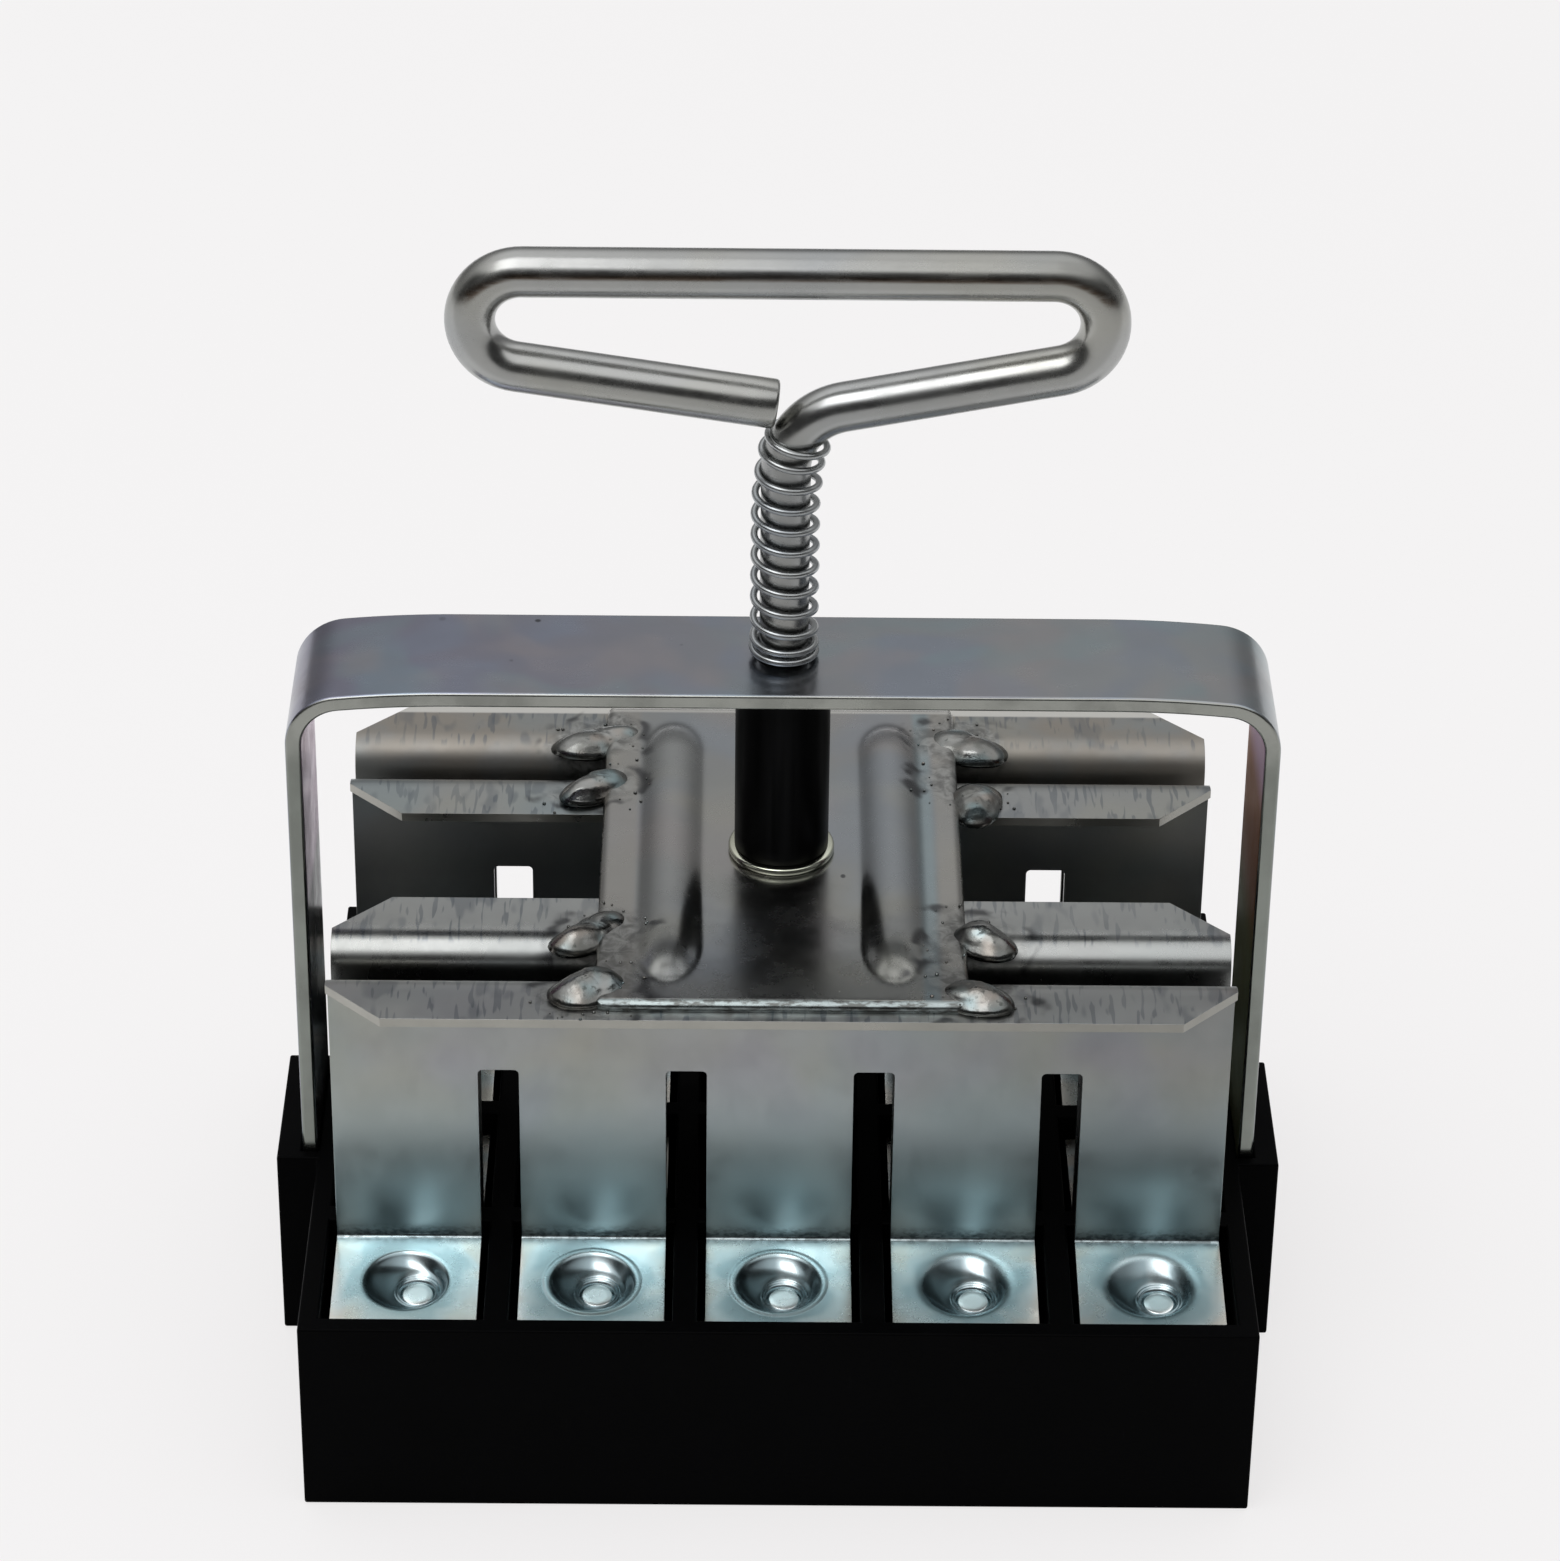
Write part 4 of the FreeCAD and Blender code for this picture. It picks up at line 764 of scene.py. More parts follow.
def make_rivet(side, name, material):
    """Flush rivet: a faintly domed head in the boss's face, a thinner shank and a wider tail."""
    radius = (RIVET_HIGH.z - RIVET_LOW.z) / 2
    middle = Vector((0, 0, (RIVET_HIGH.z + RIVET_LOW.z) / 2))
    outer, inner = RIVET_HIGH.x, RIVET_LOW.x
    under_head, over_tail = outer - RIVET_HEAD_DEPTH, inner + RIVET_TAIL_DEPTH
    dome, edge = 0.12 * MM, 0.25 * MM
    profile = [(radius * 0.6, outer), (radius - edge, outer - dome), (radius, outer - dome - edge),
               (radius, under_head), (RIVET_SHANK, under_head), (RIVET_SHANK, over_tail),
               (RIVET_TAIL, over_tail), (RIVET_TAIL, inner + edge), (RIVET_TAIL - 0.2 * MM, inner)]
    points, faces = revolve([(r, side * x) for r, x in profile], 40, middle, axis="X", closed=False)
    if side < 0:
        faces = turned(faces)
    return new_piece(name + "_head", points, faces, "mould", material, [name])


# ---------------------------------------------------------------------------------------------
# Strap
# ---------------------------------------------------------------------------------------------
def hoop_half():
    """(place, outward normal) along the right half of the hoop's middle line, from the crown to the foot."""
    lean = SHOULDER_RADIUS - STRAP_CORNER
    shoulder = Vector((STRAP_HIGH.x - STRAP_CORNER - SHOULDER_LENGTH, 0, STRAP_HIGH.z - SHOULDER_RADIUS))
    corner = shoulder + Vector((SHOULDER_LENGTH, 0, math.sqrt(lean ** 2 - SHOULDER_LENGTH ** 2)))
    turn = math.asin(SHOULDER_LENGTH / lean)
    stations = []
    for centre, radius, angles in ((shoulder, SHOULDER_RADIUS, spread(0, turn, 8)),
                                   (corner, STRAP_CORNER, spread(turn, math.pi / 2, 14)[1:])):
        for angle in angles:
            normal = Vector((math.sin(angle), 0, math.cos(angle)))
            stations.append((centre + normal * (radius - STRAP_THICKNESS / 2), normal))
    leg_top = stations[-1][0]
    for z in spread(leg_top.z, STRAP_LOW.z, 14)[1:]:
        stations.append((Vector((leg_top.x, 0, z)), Vector((1, 0, 0))))
    return stations


def patch_with_hole(half, count, radii):
    """Square patch round a hole at the origin, with rings of points at the radii.

    Returns the points as (x, y), the faces, and the numbers of the border points, from the corner (-, -)
    anticlockwise.
    """
    border = outline([(-half, -half), (half, -half), (half, half), (-half, half)], count)
    ring_size, points = len(border), []
    for radius in radii:
        for i in range(ring_size):
            angle = math.tau * i / ring_size - 0.75 * math.pi
            points.append((radius * math.cos(angle), radius * math.sin(angle)))
    faces = turned(ring_faces(len(radii) + 1, ring_size))
    first = len(points)
    return points + border, faces, list(range(first, first + ring_size))


def make_strap(material):
    """Flat bar hoop with softened edges, and a hole for the rod in the middle of its crown."""
    half_width = STRAP_HIGH.y
    count = 12
    middle = STRAP_HIGH.z - STRAP_THICKNESS / 2
    patch, faces, border = patch_with_hole(half_width, count,
                                           [STRAP_HOLE, STRAP_HOLE + STRAP_HOLE_RIM, STRAP_HOLE * 2])
    up = Vector((0, 0, 1))
    places = [(Vector((x, y, middle)), up) for x, y in patch]
    right_edge = border[count:2 * count + 1]
    left_edge = [border[0]] + border[:3 * count - 1:-1]
    across = spread(-half_width, half_width, count)
    half = hoop_half()
    crown = [(Vector((x, 0, middle)), up) for x in spread(half_width, half[0][0].x, 6)[1:-1]]
    for sign, edge in ((1, right_edge), (-1, left_edge)):
        last = list(edge)
        for place, normal in crown + half:
            row = []
            for y in across:
                row.append(len(places))
                places.append((Vector((place.x * sign, y, place.z)), Vector((normal.x * sign, 0, normal.z))))
            for i in range(count):
                face = (last[i], row[i], row[i + 1], last[i + 1])
                faces.append(face if sign > 0 else tuple(reversed(face)))
            last = row
    outside = [place + normal * STRAP_THICKNESS / 2 for place, normal in places]
    inside = [place - normal * STRAP_THICKNESS / 2 for place, normal in places]
    points, faces = double_sheet(outside, inside, faces)
    piece = new_piece("strap_bar", points, faces, "mould", material, ["strap"])
    return soften(piece, STRAP_EDGE, segments=4)


# ---------------------------------------------------------------------------------------------
# Comb bars and their pins
# ---------------------------------------------------------------------------------------------
# Profiles of a dish as (radius, height) in millimetres, from its middle outwards
DISH = [(0.0, -2.6), (2.0, -2.6), (2.1, -2.3), (2.2, -1.98), (2.4, -1.84), (2.55, -1.9), (2.75, -1.78),
        (2.9, -1.83), (3.1, -1.7), (3.5, -1.58), (3.9, -1.4), (4.3, -1.12), (4.7, -0.76), (5.0, -0.4),
        (5.2, -0.16), (5.4, -0.05), (5.8, 0.0)]
SOFT_DISH = DISH[:-6] + [(4.3, -1.1), (4.7, -0.8), (5.1, -0.5), (5.5, -0.26), (5.9, -0.1), (6.3, -0.03),
                         (6.7, 0.0)]
RIMMED_DISH = DISH[:-1] + [(5.6, 0.0), (5.85, 0.04), (6.1, -0.07), (6.35, -0.07), (6.6, 0.0)]
RIMMED_SHARE = 0.45

# The front comb's dishes, and how far each dimple sits from the middle, both from column 1 on
FRONT_DISHES = [DISH, RIMMED_DISH, RIMMED_DISH, SOFT_DISH, SOFT_DISH]
FRONT_SHIFTS = [(1.4, 0.0), (0.6, 0.0), (0.7, -0.4), (1.1, -0.6), (1.1, -0.7)]

# Seed of the wander in dish_shift: without one, noise_vector takes its start from the clock
DISH_SEED = 1795496084


def comb_matrix(row):
    """Place of a comb: pairs stand back to back over a divider, and even rows are turned round."""
    pair = (row - 1) // 2
    turn = Matrix.Rotation(math.pi if row % 2 == 0 else 0.0, 4, "Z")
    return Matrix.Translation((0, (2 * pair + 1 - ROWS / 2) * PITCH, 0)) @ turn


def finger_centre(column):
    return (column - (COLUMNS - 1) / 2) * PITCH


def dish_shift(row, column):
    """How far the pressed dimple and its pin sit from the middle of the dish: no two are quite alike."""
    if row == 1:
        x, y = FRONT_SHIFTS[column]
    else:
        wander = noise.noise_vector(Vector((row * 1.7, column * 2.3, 0.5)))
        x, y = wander.x * 0.8, wander.y * 0.5
    return Vector((x, y, 0)) * MM


def bend_stations(centre, angles, radii):
    """Stations round a bend in YZ: a point at each of the radii, for every angle."""
    return [tuple((centre[0] + math.cos(angle) * radius, centre[1] + math.sin(angle) * radius)
                  for radius in radii) for angle in angles]


def comb_stations():
    """(front point, back point) of the bent sheet in YZ, from the flange's edge down to the foot's bend.

    The flange's underside, the web's front and the foot's top are one side; the other is a sheet behind.
    The feet are bent a little short of square, so they droop towards their free edges.
    """
    bend = (-(WEB_BACK + FLANGE_BEND), COMB_TOP - FLANGE_BEND)
    foot = (-(WEB_BACK + SHEET + FOOT_BEND), FOOT_TOP + FOOT_BEND)
    flange = spread(-(WEB_BACK + FLANGE_DEPTH), bend[0], 8)[:-1]
    web = spread(bend[1], SLOT_TOP, 4)[1:] + spread(SLOT_TOP - SLOT_CORNER, foot[1], 10)[:-1]
    return ([((y, COMB_TOP - SHEET), (y, COMB_TOP)) for y in flange]
            + bend_stations(bend, spread(math.pi / 2, 0, 8), (FLANGE_BEND - SHEET, FLANGE_BEND))
            + [((-(WEB_BACK + SHEET), z), (-WEB_BACK, z)) for z in web]
            + bend_stations(foot, spread(0, FOOT_DROOP - math.pi / 2, 6), (FOOT_BEND, FOOT_BEND + SHEET)))


def make_comb(row, material, edge_material, draw):
    """Bent sheet bar with slots between its fingers and a pressed dish in each foot."""
    per_finger = 12
    across, gaps = [], set()
    for column in range(COLUMNS):
        left = finger_centre(column) - FINGER / 2
        across += spread(left, left + FINGER, per_finger)
        if column < COLUMNS - 1:
            gap_left, gap_right = left + FINGER, left + PITCH
            gaps.update(range(len(across) - 1, len(across) + 3))
            across += [gap_left + SLOT_CORNER, (gap_left + gap_right) / 2, gap_right - SLOT_CORNER]
    chamfer_back = -(WEB_BACK + FLANGE_DEPTH) + FLANGE_CHAMFER
    front, back, faces, index = [], [], [], {}

    def add(x, front_point, back_point):
        cut = max(0.0, chamfer_back - back_point[0]) if back_point[1] > COMB_TOP - HAIR else 0.0
        x *= (COMB_X - cut) / COMB_X
        front.append(Vector((x, *front_point)))
        back.append(Vector((x, *back_point)))
        return len(front) - 1

    stations = comb_stations()
    below_slot = [front_point[1] < SLOT_TOP - SLOT_CORNER / 2 for front_point, _ in stations]
    for s, (front_point, back_point) in enumerate(stations):
        for u, x in enumerate(across):
            if not (below_slot[s] and u in gaps and (u - 1) in gaps):
                index[(s, u)] = add(x, front_point, back_point)
    for s in range(len(stations) - 1):
        for u in range(len(across) - 1):
            if not (below_slot[s + 1] and u in gaps):
                faces.append((index[(s, u)], index[(s + 1, u)], index[(s + 1, u + 1)], index[(s, u + 1)]))
    top = next(s for s, (front_point, _) in enumerate(stations) if abs(front_point[1] - SLOT_TOP) < HAIR)
    for gap_start in sorted(gaps)[::4]:
        for first, step in ((gap_start, 1), (gap_start + 4, -1)):
            centre = Vector((across[first + step], 0, SLOT_TOP - SLOT_CORNER))
            arc = []
            for angle in spread(math.pi, math.pi / 2, 4)[1:-1]:
                x = centre.x + step * math.cos(angle) * SLOT_CORNER
                z = centre.z + math.sin(angle) * SLOT_CORNER
                arc.append(add(x, (-(WEB_BACK + SHEET), z), (-WEB_BACK, z)))
            fan = (index[(top, first)], index[(top, first + step)], *reversed(arc), index[(top + 1, first)])
            faces.append(fan if step < 0 else tuple(reversed(fan)))

    for column in range(COLUMNS):
        profile = RIMMED_DISH if draw.random() < RIMMED_SHARE else DISH
        if row == 1:
            profile = FRONT_DISHES[column]
        start = across.index(finger_centre(column) - FINGER / 2)
        edge = [index[(len(stations) - 1, start + i)] for i in range(per_finger + 1)]
        shift = dish_shift(row, column if row % 2 else COLUMNS - 1 - column)
        shift = shift if row % 2 else -shift
        add_foot(column, profile, shift, edge, stations[-1], front, back, faces)
    sheet_faces = 2 * len(faces)
    points, faces = double_sheet(front, back, faces)
    matrix = comb_matrix(row)
    piece = new_piece(f"comb_bar_{row}", [matrix @ point for point in points], faces, "pusher",
                      material, [f"comb_{row}"])
    piece.data.materials.append(edge_material)
    for face in piece.data.polygons[sheet_faces:]:
        face.material_index = 1
    return soften(piece, SHEET_EDGE, segments=2, angle=60.0)


def foot_drop(y):
    """How far a drooping foot lies below its fold at a place between the fold and its free edge."""
    return (comb_stations()[-1][0][0] - y) * math.tan(FOOT_DROOP)


def add_foot(column, profile, shift, edge, fold, front, back, faces):
    """Foot of one finger: rings of points from the dish's middle out to the foot's straight border."""
    centre_x, half, count = finger_centre(column), FINGER / 2, len(edge) - 1
    (foot_back, top), (_, bottom), foot_front = *fold, -FOOT_FRONT
    border = outline([(half, foot_back), (-half, foot_back), (-half, foot_front), (half, foot_front)], count)
    size = len(border)

    def add(x, y, height):
        drop = foot_drop(y)
        front.append(Vector((x, y, top - drop + height)))
        back.append(Vector((x, y, bottom - drop + height)))
        return len(front) - 1

    rings = []
    for radius, height in profile[1:]:
        ring = []
        follow = smooth_step(5.0, 2.8, radius)
        for i in range(size):
            angle = math.pi / 4 + math.tau * i / size
            ring.append(add(centre_x + shift.x * follow + radius * MM * math.cos(angle),
                            -DISH_Y + shift.y * follow + radius * MM * math.sin(angle), height * MM))
        rings.append(ring)
    rings.append(edge[::-1] + [add(centre_x + x, y, 0.0) for x, y in border[count + 1:]])
    faces.append(tuple(rings[0]))
    for inner, wider in zip(rings, rings[1:]):
        for i in range(size):
            j = (i + 1) % size
            faces.append((inner[i], wider[i], wider[j], inner[j]))


def make_pin(row, column, material, draw):
    """Staked pin: a flat head with a soft edge in the dish and a blunt nose, square to its drooping foot."""
    name = f"dibber_pin_r{row}_c{column}"
    low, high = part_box(name)
    shift = dish_shift(row, column - 1)
    centre = Vector(((low.x + high.x) / 2, (low.y + high.y) / 2, 0)) + shift
    facing = -1 if row % 2 == 0 else 1
    head = high.z - PIN_HEAD
    floor = head - SHEET
    profile = [(1.1, high.z + 0.02 * MM), (1.78, high.z), (1.88, high.z - 0.05 * MM),
               (1.93, high.z - 0.16 * MM), (1.95, head), (1.2, head),
               (1.2, floor), (2.1, floor), (1.95, floor - 0.8 * MM),
               (0.95, low.z + 0.5 * MM), (0.7, low.z + 0.15 * MM), (0.35, low.z)]
    points, faces = revolve([(radius * MM, height) for radius, height in profile], 32, centre, closed=False)
    lean = Vector((draw.uniform(-0.03, 0.03), facing * draw.uniform(0.0, 0.05), 0))
    points = [point + Vector((0, 0, lean.dot(point - centre))) if point.z > head else point
              for point in points]
    seat = centre + Vector((0, 0, head))
    droop = Matrix.Rotation(facing * FOOT_DROOP, 3, "X")
    drop = Vector((0, 0, foot_drop(facing * shift.y - DISH_Y)))
    points = [seat + droop @ (point - seat) - drop for point in points]
    return new_piece(f"pin_r{row}_c{column}", points, faces, "pusher", material, [name],
                     crease=50.0)


# ---------------------------------------------------------------------------------------------
# Bridge plate, welds, washer and sleeve
# ---------------------------------------------------------------------------------------------
def rib_rise(x, y):
    """Height of the ribs above the plate's flat: an arc across the rib, run out in a small fillet."""
    reach = max(0.0, abs(y) - RIB_REACH) * RIB_NOSE
    distance = math.hypot(abs(x) - RIB_X, reach)
    arc = (RIB_RADIUS ** 2 + RIB_HEIGHT ** 2) / (2 * RIB_HEIGHT)

    def height(d):
        return math.sqrt(arc ** 2 - d ** 2) - (arc - RIB_HEIGHT)

    inner, outer = RIB_RADIUS - RIB_FILLET, RIB_RADIUS + RIB_FILLET
    if distance >= outer:
        return 0.0
    if distance <= inner:
        return height(distance)
    share = (outer - distance) / (outer - inner)
    return height(inner) * share ** 2


def edge_roll(x, y):
    """How far the plate's top falls away near its sheared border."""
    inside = min(PLATE_HIGH.x - abs(x), PLATE_HIGH.y - abs(y))
    into = max(0.0, PLATE_ROLL_WIDTH - inside)
    return PLATE_ROLL - math.sqrt(PLATE_ROLL ** 2 - into ** 2)


def make_plate(material):
    """Pressed plate with two ribs, a hole for the rod, rolled edges and a slightly wavy top."""
    patch_half, patch_count = 5.0 * MM, 10
    places, faces, border = patch_with_hole(patch_half, patch_count, [PLATE_HOLE, PLATE_HOLE + 0.4 * MM])
    lookup = {(round(places[i][0] / MM, 3), round(places[i][1] / MM, 3)): i for i in border}
    half_x, half_y = PLATE_HIGH.x, PLATE_HIGH.y
    rim = spread(0, PLATE_ROLL_WIDTH, 6)

    def lines(half, count):
        outer = spread(patch_half, half - PLATE_ROLL_WIDTH, count) + [half - step for step in rim]
        inner = spread(-patch_half, patch_half, patch_count)
        return sorted(set(round(v / MM, 3) for v in inner + outer + [-v for v in outer]))

    def number(x, y):
        if (x, y) not in lookup:
            lookup[(x, y)] = len(places)
            places.append((x * MM, y * MM))
        return lookup[(x, y)]

    xs, ys, inside = lines(half_x, 35), lines(half_y, 44), patch_half / MM
    for x0, x1 in zip(xs, xs[1:]):
        for y0, y1 in zip(ys, ys[1:]):
            if abs(x0 + x1) / 2 < inside and abs(y0 + y1) / 2 < inside:
                continue
            faces.append((number(x0, y0), number(x1, y0), number(x1, y1), number(x0, y1)))
    round_centre = Vector((half_x - PLATE_CORNER, half_y - PLATE_CORNER))
    front, back = [], []
    for x, y in places:
        corner = Vector((abs(x), abs(y))) - round_centre
        if corner.x > 0 and corner.y > 0:
            corner = corner.normalized() * max(corner.x, corner.y)
            x = math.copysign(round_centre.x + corner.x, x)
            y = math.copysign(round_centre.y + corner.y, y)
        rise = rib_rise(x, y)
        sag = PLATE_WAVE * noise.noise(Vector((x / PLATE_WAVE_LENGTH, y / PLATE_WAVE_LENGTH, 4.0)))
        front.append(Vector((x, y, PLATE_TOP + rise + sag - edge_roll(x, y))))
        back.append(Vector((x, y, COMB_TOP + 0.8 * rise)))
    points, faces = double_sheet(front, back, faces)
    piece = new_piece("pressed_plate", points, faces, "pusher", material, ["bridge_plate"],
                      crease=50.0)
    return soften(piece, PLATE_EDGE, segments=4, angle=55.0)


# Lumps of each bead, in millimetres: place (x, y, z) from the CAD bead's middle at the plate's top,
# half sizes (length, width, height) and turn in degrees seen from above.
BEADS = {(1, "left"): [(-0.6, -0.3, -0.6, 3.5, 2.4, 2.0, 12), (0.9, 0.9, -0.4, 2.9, 2.2, 2.1, 0)],
         (2, "left"): [(-1.6, -0.6, -0.6, 3.0, 1.9, 1.9, 28), (1.6, 2.9, -0.4, 2.2, 1.9, 1.2, 30),
                       (0.2, 1.2, -0.5, 2.9, 2.2, 1.3, 45)],
         (3, "left"): [(-0.9, -0.9, -0.5, 3.4, 2.2, 1.8, 35), (0.9, 0.8, -0.4, 2.8, 2.2, 1.5, 20)],
         (4, "left"): [(-2.1, -1.0, -0.6, 3.3, 2.5, 1.5, 5), (2.4, 1.2, -0.4, 2.3, 1.8, 1.1, 10),
                       (0.2, 0.4, -0.6, 3.0, 2.4, 1.2, 15)],
         (1, "right"): [(0.6, -1.4, -0.6, 3.3, 2.2, 1.7, -20), (-0.9, -0.6, -0.5, 2.8, 2.2, 1.5, 0)],
         (2, "right"): [(1.9, -0.8, -0.6, 3.1, 2.1, 2.0, -30), (0.9, 0.3, -0.4, 2.5, 2.1, 2.1, 0)],
         (3, "right"): [(1.3, -4.4, -1.0, 2.2, 2.2, 1.7, 0), (1.5, -2.2, -0.5, 2.7, 2.8, 1.5, -20)],
         (4, "right"): [(2.1, -1.6, -0.8, 3.2, 2.6, 1.5, -10), (-0.6, 0.2, -0.5, 3.0, 2.6, 1.1, 0)]}
SKIRT = 0.7
LUMP_BLEND = 6


def drop_reach(way, lumps):
    """Distance along a direction to the skin of a few ellipsoids that melt into each other."""
    total = 0.0
    for middle, half, turn in lumps:
        ray, start = turn @ way, turn @ middle
        ray = Vector([w / h for w, h in zip(ray, half)])
        start = Vector([m / h for m, h in zip(start, half)])
        along, square = ray.dot(start), ray.dot(ray)
        root = along ** 2 - square * (start.dot(start) - 1.0)
        if root > 0:
            total += max(0.0, (along + math.sqrt(root)) / square) ** LUMP_BLEND
    return total ** (1 / LUMP_BLEND)


def make_weld(row, side, material, draw):
    """Bead over the plate's corner and the comb's flange: smooth melted lumps with spatter round them."""
    name = f"weld_r{row}_{side}"
    low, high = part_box(name)
    shapes = BEADS[(row, side)]
    heart = sum((Vector(shape[:3]) for shape in shapes), Vector()) / len(shapes)
    skirts = [(x, y, z - 0.3, a + SKIRT, b + SKIRT, 0.5 * c, turn) for x, y, z, a, b, c, turn in shapes]
    lumps = [(Vector(shape[:3]) - heart, shape[3:6], Matrix.Rotation(-math.radians(shape[6]), 3, "Z"))
             for shape in shapes + skirts]
    middle = Vector(((low.x + high.x) / 2, (low.y + high.y) / 2, PLATE_TOP))
    seed = Vector((row * 5.3, SIDES[side] * 2.9, 1.0))
    rings, segments = 26, 52
    points = []
    for way in ball_ways(rings, segments):
        uneven = 1.0 + 0.06 * noise.noise(way * 1.5 + seed) + 0.025 * noise.noise(way * 4.0 + seed)
        points.append(middle + (heart + way * drop_reach(way, lumps) * uneven) * MM)
    faces = turned(capped_faces(rings, segments))
    add_spatter(points, faces, middle, draw)
    return new_piece(f"bead_r{row}_{side}", points, faces, "pusher", material, [name],
                     crease=180.0)


def add_spatter(points, faces, middle, draw):
    """Small frozen drops stuck on the plate and the flange near a bead, added to its points and faces."""
    levels, count = 5, 8
    for _ in range(16):
        angle, reach = draw.uniform(0, math.tau), draw.uniform(3.8, 7.5) * MM
        radius = draw.uniform(0.10, 0.26) * MM
        x, y = middle.x + reach * math.cos(angle), middle.y + reach * math.sin(angle)
        on_plate = abs(x) < PLATE_HIGH.x and abs(y) < PLATE_HIGH.y
        local = y + PITCH if y < 0 else y - PITCH
        on_flange = WEB_BACK + FLANGE_BEND < abs(local) < WEB_BACK + FLANGE_DEPTH
        if not (on_plate or on_flange):
            continue
        z = PLATE_TOP + rib_rise(x, y) if on_plate else COMB_TOP
        start = len(points)
        for way in ball_ways(levels, count):
            points.append(Vector((x + radius * way.x, y + radius * way.y,
                                  z + radius * (0.25 + 0.8 * way.z))))
        faces += [tuple(i + start for i in face) for face in turned(capped_faces(levels, count))]


def make_rod_weld(material):
    """Uneven ring of weld under the plate, round the rod's end."""
    points = []
    segments, count = 56, 14
    radius = (RING_HIGH.x + ROD_RADIUS) / 2
    thick_x, thick_z = (RING_HIGH.x - ROD_RADIUS) / 2, (RING_HIGH.z - RING_LOW.z)
    for i in range(segments):
        angle = math.tau * i / segments
        way = Vector((math.cos(angle), math.sin(angle), 0))
        lump = 1.0 + 0.12 * noise.noise(way * 2.5) + 0.05 * math.sin(angle * 14)
        for cosine, sine in circle(count):
            points.append(way * (radius + thick_x * lump * cosine)
                          + Vector((0, 0, RING_HIGH.z + thick_z * lump * min(0.0, sine))))
    faces = turned(ring_faces(segments, count, closed_rings=True))
    return new_piece("rod_weld_ring", points, faces, "pusher", material, ["rod_weld"],
                     crease=180.0)


def make_washer(material):
    """Flat ring with rolled edges under the sleeve."""
    bore, outer, edge, bow = PLATE_HOLE, WASHER_HIGH.x, 0.28 * MM, 0.084 * MM
    low, high = WASHER_LOW.z, WASHER_HIGH.z
    profile = [(bore, low + edge), (bore + edge, low), (outer - edge, low), (outer - bow, low + bow),
               (outer, low + edge), (outer, high - edge), (outer - bow, high - bow),
               (outer - edge, high), (bore + edge, high), (bore, high - edge)]
    points, faces = revolve(profile, 72)
    return new_piece("washer_ring", points, faces, "pusher", material, ["washer"],
                     crease=60.0)


def make_sleeve(material):
    """Cut length of tube with hairline chamfers at its ends."""
    bore, outer, edge = PLATE_HOLE, SLEEVE_HIGH.x, 0.2 * MM
    low, high = SLEEVE_LOW.z, SLEEVE_HIGH.z
    heights = spread(low + edge, high - edge, 12)
    profile = [(bore, low + edge), (bore + edge, low), (outer - edge, low)] + [(outer, z) for z in heights]
    profile += [(outer - edge, high), (bore + edge, high), (bore, high - edge)]
    points, faces = revolve(profile, 96)
    return new_piece("sleeve_tube", points, faces, "pusher", material, ["sleeve"],
                     crease=50.0)


# ---------------------------------------------------------------------------------------------
# Bent rod and spring
# ---------------------------------------------------------------------------------------------
def rod_line():
    """Middle line of the bent rod, from its end under the plate round to its free end."""
    neck_end_angle = math.pi / 2 + RIGHT_SLOPE
    grip_x = ROD_HIGH.x - ROD_RADIUS - GRIP_BEND
    grip_z = ROD_HIGH.z - ROD_RADIUS - GRIP_BEND
    right, left = Vector((grip_x, 0, grip_z)), Vector((-grip_x, 0, grip_z))
    neck = Vector((NECK_BEND, 0, NECK_START))
    line = [Vector((0, 0, z)) for z in spread(ROD_LOW.z, NECK_START, 14)[:-1]]
    line += arc_points(neck, NECK_BEND, math.pi, neck_end_angle, 20)
    neck_end = line[-1]
    right_low = right + Vector((math.sin(RIGHT_SLOPE), 0, -math.cos(RIGHT_SLOPE))) * GRIP_BEND
    line += [neck_end.lerp(right_low, i / 8) for i in range(1, 8)]
    line += arc_points(right, GRIP_BEND, RIGHT_SLOPE - math.pi / 2, math.pi / 2, 32)
    line += [line[-1].lerp(left + Vector((0, 0, GRIP_BEND)), i / 16) for i in range(1, 16)]
    line += arc_points(left, GRIP_BEND, math.pi / 2, 1.5 * math.pi - LEFT_SLOPE, 32)
    left_low = line[-1]
    run = (FREE_END_X - left_low.x) / math.cos(LEFT_SLOPE)
    way = Vector((math.cos(LEFT_SLOPE), 0, -math.sin(LEFT_SLOPE)))
    line += [left_low + way * run * i / 10 for i in range(1, 11)]
    return line


def make_rod(material):
    """Bent rod with its two ends sawn square and lightly chamfered."""
    line = rod_line()
    edge = 0.4 * MM
    start, end = (line[1] - line[0]).normalized(), (line[-1] - line[-2]).normalized()
    first = [line[0], line[0] + start * edge * 0.3, line[0] + start * edge]
    last = [line[-1] - end * edge, line[-1] - end * edge * 0.3, line[-1]]
    line = first + line[1:-1] + last
    trims = {0: edge, 1: edge * 0.3, len(line) - 2: edge * 0.3, len(line) - 1: edge}
    points, faces = swept(line, ROD_RADIUS, trims, 64)
    return new_piece("bent_rod", points, faces, "pusher", material, ["handle_rod"], crease=50.0)


def rod_shift(z):
    """How far the rod's middle line has bent away to the right at a height."""
    rise = min(max(0.0, z - NECK_START), NECK_BEND * 0.95)
    return NECK_BEND - math.sqrt(NECK_BEND ** 2 - rise ** 2)


